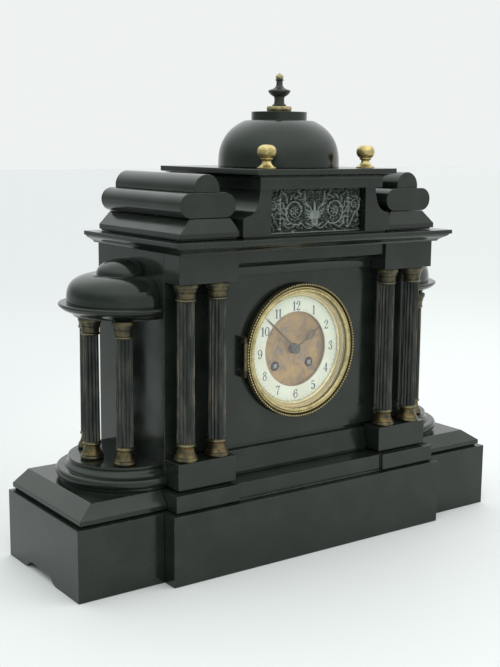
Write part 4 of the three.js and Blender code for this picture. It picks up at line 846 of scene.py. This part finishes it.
class Carving:
    """A height field of rounded dabs, mirrored about its middle."""

    def __init__(self, half_width, height, across, up):
        self.x = np.linspace(-half_width, half_width, across)
        self.z = np.linspace(0, height, up)
        self.field = np.zeros((up, across))

    def dab(self, x, z, radius, lift):
        for centre in (x, -x):
            columns = np.flatnonzero(abs(self.x - centre) < radius)
            rows = np.flatnonzero(abs(self.z - z) < radius)
            if len(columns) and len(rows):
                window = np.ix_(rows, columns)
                gap = (self.x[columns][None] - centre) ** 2 + (self.z[rows][:, None] - z) ** 2
                cap = lift * np.sqrt(np.clip(1 - gap / radius**2, 0, 1))
                self.field[window] = np.maximum(self.field[window], cap)

    def stroke(self, path, radii, lifts):
        """Dabs along a path whose radius and lift run through the given values."""
        path = np.array(path)
        along = np.r_[0, np.cumsum(np.linalg.norm(np.diff(path, axis=0), axis=1))]
        spots = np.linspace(0, along[-1], max(6, int(along[-1] / 0.18)))
        xs, zs = (np.interp(spots, along, path[:, k]) for k in (0, 1))
        radius, lift = (np.interp(spots / along[-1], np.linspace(0, 1, len(v)), v) for v in (radii, lifts))
        for values in zip(xs, zs, radius, lift):
            self.dab(*values)

    def lobe(self, x, z, degrees, length, width, lift, curl=0.0):
        """A leaf's lobe that starts at a place and bends as it goes."""
        path = bent(x, z, degrees, length, 8, curl)
        widths = [width * 0.5, width, width * 0.8, width * 0.25]
        self.stroke(path, widths, [lift * 0.7, lift, lift * 0.8, lift * 0.3])

    def leaf(self, x, z, degrees, length, lobes, curl, lift):
        """A broad leaf of paired lobes along a bent rib."""
        rib = bent(x, z, degrees, length, lobes, curl)
        for i in range(lobes):
            size = length * 0.36 * (1.15 - 0.75 * i / lobes) * (0.75 if i == 0 else 1)
            for hand in (-1, 1):
                heading = degrees + curl * i / lobes + hand * 46
                self.lobe(*rib[i], heading, size, 0.5 + size * 0.2, lift * 0.85, -hand * 42)
        self.stroke(rib, [1.0, 0.85, 0.45], [lift, lift * 0.95, lift * 0.6])

    def rosette(self, x, z, radius, petals, lift):
        for i in range(petals):
            path = [polar(x, z, share * radius, 360 * i / petals) for share in (0.25, 0.8)]
            self.stroke(path, [radius * 0.14, radius * 0.3], [lift * 0.6, lift * 0.85])
        self.dab(x, z, radius * 0.3, lift)


def spiral(x, z, radius, start, turns, tightness):
    angles = np.linspace(0, 360 * turns, int(36 * turns) + 2)
    return [polar(x, z, radius * tightness ** (angle / 360), start + angle) for angle in angles]


def carved_scrollwork():
    """Own design: a palmette and two slender stands among leafy scrolls, over a ground of small sprigs."""
    carving = Carving(59.7, 43.8, 500, 184)
    draw = np.random.default_rng(5).uniform
    for x in np.arange(1.2, 60, 2.9):
        for z in np.arange(3.0, 44, 2.7):
            start = x + draw(-1.2, 1.2), z + draw(-1.1, 1.1)
            size, lift = draw(2.4, 5.4), draw(1.1, 2.5)
            carving.lobe(*start, draw(0, 360), size, draw(0.6, 1.1), lift, draw(-110, 110))
    for degrees, length in ((90, 19), (72, 18), (54, 16), (36, 13.5), (18, 11), (2, 8.5)):
        carving.lobe(0.5, 14.5, degrees, length, 1.75, 3.3, -22 if degrees < 90 else 0)
        carving.dab(*polar(0.5, 14.5, length, degrees - 12), 1.3, 3.4)
    carving.rosette(0, 11.0, 4.6, 9, 3.6)
    carving.leaf(1.5, 6.0, 8, 12, 4, 30, 3.0)
    stand = 43.2
    knobs = ((4.4, 2.4), (7.6, 1.5), (10.4, 2.1), (13.6, 1.3), (31.0, 1.5), (34.0, 2.3), (37.4, 1.5), (40.0, 1.1))
    for z, radius in knobs:
        carving.dab(stand, z, radius, 3.1)
    carving.stroke([(stand, 4), (stand, 41)], [0.8, 1.0, 0.7], [2.6, 3.0, 2.4])
    for z in (14, 19, 24, 29):
        for hand in (-1, 1):
            carving.lobe(stand, z, 90 + hand * 55.8, 5.2, 1.15, 2.7, hand * 40)
    hub = (25.0, 22.0)
    curl = spiral(*hub, 14.6, 236, 1.6, 0.46)
    stem = [(2.5, 6.5), *bow((4.5, 4.6), (9.5, 2.4), curl[0], 8), *curl]
    carving.stroke(stem, [1.2, 1.5, 1.3, 0.8], [2.6, 3.1, 2.9, 2.3])
    carving.rosette(*hub, 4.8, 7, 3.6)
    for degrees in range(236, 560, 27):
        carving.leaf(*polar(*hub, 12.6, degrees), degrees + 38, 8.6, 4, 52, 2.9)
        carving.lobe(*polar(*hub, 10.4, degrees), degrees + 158, 4.6, 1.2, 2.6, -72)
    far = (52.2, 27.0)
    ring = spiral(*far, 7.6, 280, 1.5, 0.42)
    carving.stroke([*bow((45.0, 4.0), (48.5, 12.0), ring[0], 8), *ring], [1.0, 1.3, 1.1, 0.7], [2.4, 3.0, 2.7, 2.2])
    carving.rosette(*far, 3.2, 6, 3.4)
    for degrees in range(270, 600, 36):
        carving.leaf(*polar(*far, 7.0, degrees), degrees + 36, 6.0, 3, 50, 2.7)
    leaves = [(12.0, 34.0, 70, 9), (8.0, 26.0, 40, 8), (36.0, 38.0, 20, 7), (37.0, 7.0, 60, 8)]
    leaves += [(53.0, 9.0, 20, 7), (56.0, 14.5, 70, 7), (31.0, 4.5, 12, 8), (16.5, 38.5, 20, 8)]
    for x, z, degrees, length in leaves:
        carving.leaf(x, z, degrees, length, 4, 30, 2.8)
    ledge = np.clip((1.7 - carving.z) / 0.4, 0, 1) * 2.4
    carving.field = np.maximum(carving.field, ledge[:, None])
    return carving


def make_relief():
    """The carved field as a closed plate whose ground is finely grained."""
    carving = carved_scrollwork()
    field = carving.field
    field = (field + sum(np.roll(field, step, axis) for axis in (0, 1) for step in (1, -1))) / 5
    height = field + np.clip(1 - field / 0.5, 0, 1) * np.random.default_rng(7).random(field.shape) * 0.18
    up, across = height.shape
    xs, zs = np.meshgrid(carving.x, carving.z + FRIEZE_BOTTOM)
    front = np.stack([xs, FRIEZE_FRONT - height, zs], -1).reshape(-1, 3)
    index = np.arange(up * across).reshape(up, across)
    quads = np.stack([index[:-1, :-1], index[:-1, 1:], index[1:, 1:], index[1:, :-1]], -1).reshape(-1, 4)
    rim = [int(i) for i in (*index[0, :-1], *index[:-1, -1], *index[-1, :0:-1], *index[:0:-1, 0])]
    back = front[rim]
    back[:, 1] = FRIEZE_BACK
    first, count = len(front), len(rim)
    walls = [(rim[i], first + i, first + (i + 1) % count, rim[(i + 1) % count]) for i in range(count)]
    faces = [*quads.tolist(), *walls, tuple(range(first, first + count))]
    mesh = closed_mesh(np.vstack([front, back]), faces, 60)
    painted(mesh, relief=np.clip((FRIEZE_FRONT - places(mesh)[:, 1]) / 3.6, 0, 1))
    shown("relief_scrollwork", mesh, "frieze", replaced="relief_panel")


# Dial


def dial_reach(mesh):
    """Each point's distance from the dial's axis."""
    x, _, z = places(mesh).T
    return np.hypot(x, z - DIAL_Z)


def pin_piece(*profile, segments=32):
    return turned_piece(list(profile), segments, PIN)


def make_bezel():
    """Hinged rim with its milled edge, the fixed ring with the hollow slip, and the hinge."""
    rim = [(60.8, -51.3), ((60.8, -51.9), (61.3, -52.9), (62.4, -52.9), 7)]
    rim += [((63.4, -52.9), (64.2, -52.4), (64.5, -51.9), 7), ((64.9, -52.2), (65.4, -52.5), (65.9, -52.0), 6)]
    rim += [(66.2, -51.2), (66.9, -51.0), (67.3, -51.5), ((67.6, -52.6), (69.3, -52.8), (69.4, -51.6), 8)]
    rim += [(69.4, -50.6), ((69.6, -50.4), (70.0, -50.2), (70.0, -49.6), 4), (70.0, -46.4), (69.7, -46.05)]
    rim += [(61.2, -46.05), (60.9, -46.4), (60.9, -48.65), (64.2, -48.65), (64.2, -50.85), (60.8, -50.85)]
    door = faced(traced(0, *rim), 192)
    reach = dial_reach(door)
    # painted shade: darker in the groove at 64.5 mm and over the outer roll and wall round the beads, which stay
    # light
    groove = np.clip(1 - abs(reach - 64.5) / 0.25, 0, 1) * 0.7
    painted(door, shade=np.maximum(groove, np.clip((reach - 65.9) / 0.2, 0, 1)))
    sizes = {"Count": 144, "Circle": 68.8, "Bead": 1.15, "Flatness": 1.0, "Forward": 52.45}
    beads = painted(moved(repeated(ring_of_beads, sizes), z=DIAL_Z), shade=0.05)
    low, high = 195.2, 222.8
    knuckle = [(1.1, low), (1.6, low), (1.8, low + 0.3), (1.8, high - 0.3), (1.6, high), (1.1, high)]
    arm = drawn_out(rectangle(-71.4, -67.9, low, high), "Y", -51.9, -50.9)
    hinged = joined(door, beads, painted(joined(pin_piece(*knuckle), arm), shade=0.85))
    shown("bezel_door_rim", hinged, "rim", "bezel_door", "bezel_door")
    pane = [(0, -50.75), (62.0, -50.75), (64.0, -49.75), (64.0, -48.75), (0, -48.75)]
    shown("bezel_glass_pane", faced(pane, 128), "glass", "bezel_door", "bezel_glass")
    slip = [(68.6, -45.55), (62.0, -45.55), ((61.5, -45.55), (61.1, -45.4), (60.9, -44.9), 6)]
    slip += [((60.4, -43.5), (59.4, -43.0), (58.0, -43.0), 10), ((57.4, -43.5), (56.4, -43.4), (56.0, -42.4), 7)]
    slip += [(55.5, -42.05), (55.5, -40.15), (51.5, -40.15), (51.5, -38.95), (62.8, -38.95), (62.8, -28.75)]
    ring = faced(traced(0, *slip, (65.2, -28.75), (65.2, RING_SEAT), (68.6, RING_SEAT)), 192)
    # painted shade: the slip is darker across its hollow
    painted(ring, shade=np.interp(dial_reach(ring), [56.0, 57.4, 58.2, 60.4, 60.9], [0.1, 0.15, 0.95, 0.9, 0.0]))
    hinge = []
    for low, high in ((188.5, 194.9), (223.1, 229.5)):
        hinge.append(pin_piece((0, low), (1.6, low), (1.8, low + 0.2), (1.8, high - 0.2), (1.6, high), (0, high)))
        hinge.append(drawn_out(rectangle(-73.9, -72.7, low, high), "Y", PIN[1], RING_SEAT))
        hinge.append(drawn_out(rectangle(-73.9, -63.8, low, high), "Y", -45.5, RING_SEAT))
    hinge.append(pin_piece((0, 188.5), (0.8, 188.5), (0.8, 229.5), (0, 229.5), segments=24))
    shown("bezel_ring_slip", ring, "slip", replaced="bezel_ring")
    shown("bezel_ring_hinge", joined(*hinge), "hinge")


class Pen:
    """Draws strokes as flat closed ribbons of fired ink."""

    def __init__(self):
        self.points, self.faces, self.lift = [], [], 0.0

    def stroke(self, path, widths):
        if len(path) > 2:
            padded = np.vstack([2 * path[0] - path[1], path, 2 * path[-1] - path[-2]])
            steps = np.linspace(0, 1, 7)[:-1, None]
            parts = []
            for a, b, c, d in zip(padded, padded[1:], padded[2:], padded[3:]):
                cubic = (2 * a - 5 * b + 4 * c - d) * steps**2 + (3 * b - a - 3 * c + d) * steps**3
                parts.append(b + 0.5 * ((c - a) * steps + cubic))
            path = np.vstack([*parts, path[-1:]])
        heading = np.gradient(path, axis=0)
        heading /= np.linalg.norm(heading, axis=1)[:, None]
        side = np.stack([-heading[:, 1], heading[:, 0]], 1)
        half = np.interp(np.linspace(0, 1, len(path)), np.linspace(0, 1, len(widths)), widths)[:, None] / 2
        self.sheet([*(path + side * half), *(path - side * half)[::-1]])

    def dot(self, x, y, radius):
        self.sheet(arc(x, y, radius, radius, 0, 360, 15)[:-1])

    def sheet(self, outline):
        """A thin closed plate; each lies a hair above the last."""
        first, count = len(self.points), len(outline)
        self.lift += 0.004
        for depth in (0.06 + self.lift, 0.0):
            self.points += [(x, depth, y) for x, y in outline]
        for base, turn in ((first, 1), (first + count, -1)):
            for i in range(count // 2 - 1):
                quad = (base + i, base + i + 1, base + count - 2 - i, base + count - 1 - i)
                self.faces.append(quad[::turn])
        for i in range(count):
            j = (i + 1) % count
            self.faces.append((first + i, first + count + i, first + count + j, first + j))


def digit_marks():
    """Old digits in hundredths of their height: strokes as (path, widths), ball ends as (x, y, radius)."""
    thin, thick = 6, 19.5
    body = [(20, 86), (2, 97), (-18, 78), (-26, 42), (-18, 10), (2, 2), (22, 14), (22, 44), (2, 57), (-22, 40)]
    swell = [thin, thin, 12, thick, 12, thin, 12, 15, 7, thin]
    bowls = [arc(0, middle, across, up, 90, -270, 21) for middle, across, up in ((77, 17, 20), (29, 22, 26))]
    neck = [(-24, 78), (-12, 95), (10, 95), (21, 72), (5, 42), (-26, 5)]
    belly = [(-21, 54), (-2, 63), (20, 50), (22, 20), (2, 2), (-20, 10)]
    return {
        "0": [(arc(0, 50, 27, 47, 90, -270, 25), [thin, thick, thin, thick, thin])],
        "1": [
            ([(2, 0), (2, 100)], [thick, thick]),
            ([(-16, 3), (20, 3)], [thin, thin]),
            ([(2, 97), (-8, 86), (-20, 80)], [12, 7, 5]),
        ],
        "2": [
            (-19, 73, 10.5),
            (neck, [thin, thin, 10, thick, 9, thin]),
            ([(-27, 5), (-10, 11), (10, 3), (27, 12), (29, 27)], [6, 13, 14, 9, 5]),
        ],
        "3": [
            (-17, 79, 9.5),
            ([(-20, 85), (-6, 97), (14, 92), (17, 70), (-4, 54)], [thin, thin, thick, 14, thin]),
            ([(-4, 54), (19, 46), (23, 22), (4, 3), (-20, 10)], [thin, 14, thick, 9, thin]),
            (-20, 19, 10),
        ],
        "4": [
            ([(10, 98), (-8, 60), (-30, 30)], [9, thin, thin]),
            ([(-30, 29), (32, 29)], [8, 8]),
            ([(11, 0), (11, 98)], [thick, thick]),
            ([(-6, 3), (28, 3)], [thin, thin]),
        ],
        "5": [
            ([(-20, 95), (0, 90), (24, 98)], [10, 13, 6]),
            ([(-19, 95), (-21, 54)], [thin, thin]),
            (belly, [thin, 9, thick, thick, 8, thin]),
            (-19, 19, 10),
        ],
        "6": [(body, swell), (18, 79, 10)],
        "7": [
            ([(-28, 76), (-24, 90), (-5, 96), (10, 90), (28, 97)], [5, 10, 14, 12, 6]),
            ([(28, 97), (8, 60), (-4, 30), (-5, 0)], [thin, 8, 15, thick]),
        ],
        "8": [(bowl, [thin, 14, thin, 14, thin]) for bowl in bowls],
        "9": [([(-x, 100 - y) for x, y in body], swell), (-18, 21, 10)],
    }


def hour_numerals():
    marks, digits = digit_marks(), []
    radius, width, height = 46.3, 8.6, 9.6
    for hour in range(1, 13):
        text = str(hour)
        x, z = polar(0, DIAL_Z - 1.0, radius, 90.6 - hour * 30)
        advance = {"10": 5.6, "11": 4.3, "12": 5.2}.get(text, 0)
        for place, digit in enumerate(text):
            pen = Pen()
            for mark in marks[digit]:
                (pen.stroke if len(mark) == 2 else pen.dot)(*[np.array(value) / 100 for value in mark])
            across = x + advance * (place - 0.5 if len(text) > 1 else 0)
            points = np.array(pen.points) * (width, -1, height) + (across, ENAMEL_FRONT, z - height / 2)
            mesh = bpy.data.meshes.new("digit")
            mesh.from_pydata((points * MM).tolist(), [], pen.faces)
            with editing(mesh) as work:
                bmesh.ops.recalc_face_normals(work, faces=work.faces)
            digits.append(mesh)
    return joined(*digits)


def make_dial():
    ring = [(39.5, -41.6), (39.9, ENAMEL_FRONT), (54.7, ENAMEL_FRONT), (55.1, -41.6)]
    ring += [(55.1, -40.45), (39.5, -40.45)]
    shown("chapter_ring_enamel", faced(ring, 160), "enamel", replaced="chapter_ring")
    shown("dial_numerals", hour_numerals(), "ink")
    dots = {"Count": 60, "Circle": 53.2, "Bead": 0.42, "Flatness": 0.2, "Forward": 41.86}
    shown("minute_dots", moved(repeated(ring_of_beads, dots), z=DIAL_Z), "ink")
    dish = [(4.0, -35.15), (38.6, -35.15), ((39.2, -35.4), (40.0, -36.4), (40.0, -37.6), 6), (40.1, -39.6)]
    dish += [(40.6, -40.15), (41.2, -40.15), (41.5, -39.9), (41.5, -34.15), (4.0, -34.15)]
    hole = [(0, -60), (4.3, -60), (4.3, -20), (0, -20)]
    ferrule = traced(0, (4.3, -35.3), ((4.4, -35.7), (4.9, -35.9), (5.3, -35.2), 5), (5.3, -35.1), (4.3, -35.1))
    spots = [(side * WINDING[0], WINDING[1]) for _, side in SIDES]
    ferrules = [faced(ferrule, 40, *spot) for spot in spots]
    plate = cut(faced(traced(0, *dish), 160), *[faced(hole, 48, *spot) for spot in spots])
    shown("dial_centre_gilt", plate, "gilt", replaced="dial_centre")
    # the ferrules' near-black tone is partly painted shade of the winding holes
    shown("winding_hole_rims", joined(*ferrules), "ferrule_shade")


def flat_shape(outlines, front, clockwise, thickness=0.7, edge=0.08):
    """Outlines with holes cut from sheet, drawn upright about the origin, then turned clockwise."""
    curve = bpy.data.curves.new("sheet", "CURVE")
    curve.dimensions, curve.fill_mode = "2D", "BOTH"
    curve.extrude, curve.bevel_depth, curve.bevel_resolution = thickness / 2 - edge, edge, 1
    for outline in outlines:
        spline = curve.splines.new("POLY")
        spline.points.add(len(outline) - 1)
        for point, (x, y) in zip(spline.points, outline):
            point.co = (x, y, 0, 1)
        spline.use_cyclic_u = True
    mesh = realized(linked("sheet", curve))
    mesh.materials.clear()
    upright = Matrix.Rotation(math.pi / 2, 4, "X") @ Matrix.Scale(MM, 4)
    turn = Matrix.Rotation(math.radians(clockwise), 4, "Y")
    place = Matrix.Translation(Vector((0, front + thickness / 2, DIAL_Z)) * MM)
    mesh.transform(place @ turn @ upright)
    return tidied(mesh)


def make_hands():
    """Slim minute hand and openwork hour hand at eight minutes to two."""
    minute = both_sides([(1.2, -3.9), (1.2, 6), (0.95, 24), (1.25, 31), (0.8, 38), (0.35, 49)], (0, 52))
    arbor = [(0, -43.7), (1.7, -43.65), (2.4, -43.4), (2.4, -43.0), (4.6, -42.95)]
    arbor += [((5.2, -42.9), (5.6, -42.8), (5.6, -42.4), 4), (1.6, -42.3), (1.6, 15.05), (0, 15.05)]
    blade = flat_shape([minute], -43.0, -48)
    shown("minute_hand_metal", joined(blade, faced(traced(0, *arbor), 48)), "hand", "minute_hand", "minute_hand")
    half = [(1.2, -3.9), (0.9, 0), (0.8, 15), (2.2, 18), (3.9, 22), (4.0, 25), (2.6, 28.5), (1.0, 31), (0.5, 34)]
    eye = [(0.5, 19.5), (2.4, 22), (2.6, 24.5), (1.4, 27.5), (0.5, 28.5)]
    holes = [[(side * x, y) for x, y in eye] for _, side in SIDES]
    blade = flat_shape([both_sides(half, (0, 37.0)), *holes], -41.6, 56)
    pipe = [(1.9, -41.6), (5.4, -41.6), (5.6, -41.4), (5.6, -40.9), (5.4, -40.8), (5.4, -36.4), (5.2, -36.2)]
    pipe += [(3.1, -36.2), (3.1, -32.55), (14, -32.55), (14, -31.05), (1.9, -31.05)]
    shown("hour_hand_metal", joined(blade, faced(pipe, 48)), "hand", "hour_hand", "hour_hand")


def make_works():
    """Movement pieces keep their CAD shapes, with softened edges and their own metals."""
    metals = dict(movement_frame="works", strike_barrel="barrel", going_barrel="barrel", escape_wheel="works")
    metals.update(anchor="steel", pendulum="works", bell="works", strike_hammer="steel")
    metals.update(regulator_arbor="steel", back_ring="brass", back_door="brass")
    bodies = {node: body for body, nodes in frame["record"]["behaviour"]["bodies"].items() for node in nodes}
    for node, finish in metals.items():
        shown(f"{node}_metal", softened(copied(node), 0.12, 1, 40), finish, bodies[node], node)


# Stage


def make_floor():
    """Pale paper with painted shade: a little darker far off and towards the back left."""
    floor = bpy.data.meshes.new("floor")
    reach = 14.0
    floor.from_pydata([(x, y, 0) for x, y in rectangle(-reach, reach, -reach, reach)], [], [(0, 1, 2, 3)])
    f = Finish("pale_floor", "stage")
    x, y = f.along("X"), f.along("Y")
    tone = f.mix(f.noise(400, 2, 0.5), (0.68, 0.69, 0.687), (0.694, 0.704, 0.701))
    # painted shade: the paper darkens far off and towards the back left
    tone = f.mix(f.between((x * x + y * y) ** 0.5, 500, 2600) * 0.55, tone, (0.51, 0.522, 0.518))
    tone = f.mix(f.between(y - x, 250, 800) * 0.45, tone, (0.535, 0.54, 0.55))
    tone = f.mix(f.between(x * -0.9 + y * 0.3, 100, 1100) * 0.8, tone, (0.34, 0.37, 0.357))
    floor.materials.append(f.surface(tone, 0.7)[0])
    plane = linked("floor", floor)


def make_light():
    """Even white surround, brighter overhead and dimmer low on the left, with two soft lamps."""
    world = bpy.data.worlds.new("studio")
    world.use_nodes = True
    sky = Graph(world.node_tree)
    world.node_tree.nodes.clear()
    direction = sky.node("TexCoord", out="Generated")
    x, y, z = [sky.axis(direction, name) for name in "XYZ"]
    left = sky.between(x * -1 + y * 0.25, 0.15, 0.75)
    dim = 1 - left * sky.between(z, 0.1, 0.6, 0.52, 0.14)
    strength = sky.between(z, 0.12, 0.8, 1.0, 1.85) * dim * 0.9
    tint = sky.mix(left, (0.955, 0.985, 0.98), (0.885, 0.99, 0.945))
    glow = sky.node("Background", values={"Color": tint, "Strength": strength})
    sky.node("OutputWorld", values={"Surface": glow})
    bpy.context.scene.world = world
    bpy.context.scene.view_settings.view_transform = "Standard"
    for name, place, power in (("key_light", (-1.3, -1.6, 2.0), 9), ("fill_light", (1.7, -1.3, 1.5), 4)):
        lamp = bpy.data.lights.new(name, "AREA")
        lamp.size, lamp.energy = 1.4, power
        holder = linked(name, lamp)
        holder.location = place
        holder.rotation_euler = (Vector((0, 0, 0.2)) - Vector(place)).to_track_quat("-Z", "Y").to_euler()
        holder.visible_glossy = False


def make_camera():
    """Camera fitted to the photograph's view."""
    azimuth, elevation, roll = (math.radians(angle) for angle in (-35.65, 9.75, 0.52))
    flat = math.cos(elevation)
    back = Vector((math.sin(azimuth) * flat, -math.cos(azimuth) * flat, math.sin(elevation)))
    right = (-back).cross(Vector((0, 0, 1))).normalized()
    level = Matrix((right, right.cross(-back), back)).transposed()
    camera = bpy.data.cameras.new("camera")
    camera.lens, camera.clip_start, camera.clip_end = 60.28, 0.05, 50
    holder = linked("camera", camera)
    turn = (level @ Matrix.Rotation(roll, 3, "Z")).to_4x4()
    holder.matrix_world = Matrix.Translation(Vector((-705.1, -942.65, 421.2)) * MM) @ turn
    bpy.context.scene.camera = holder


make_flat_stones()
make_architrave()
make_cornice()
make_attic()
make_scrolls()
make_turrets()
make_dome()
make_columns()
make_finials()
make_relief()
make_bezel()
make_dial()
make_hands()
make_works()
make_floor()
make_light()
make_camera()
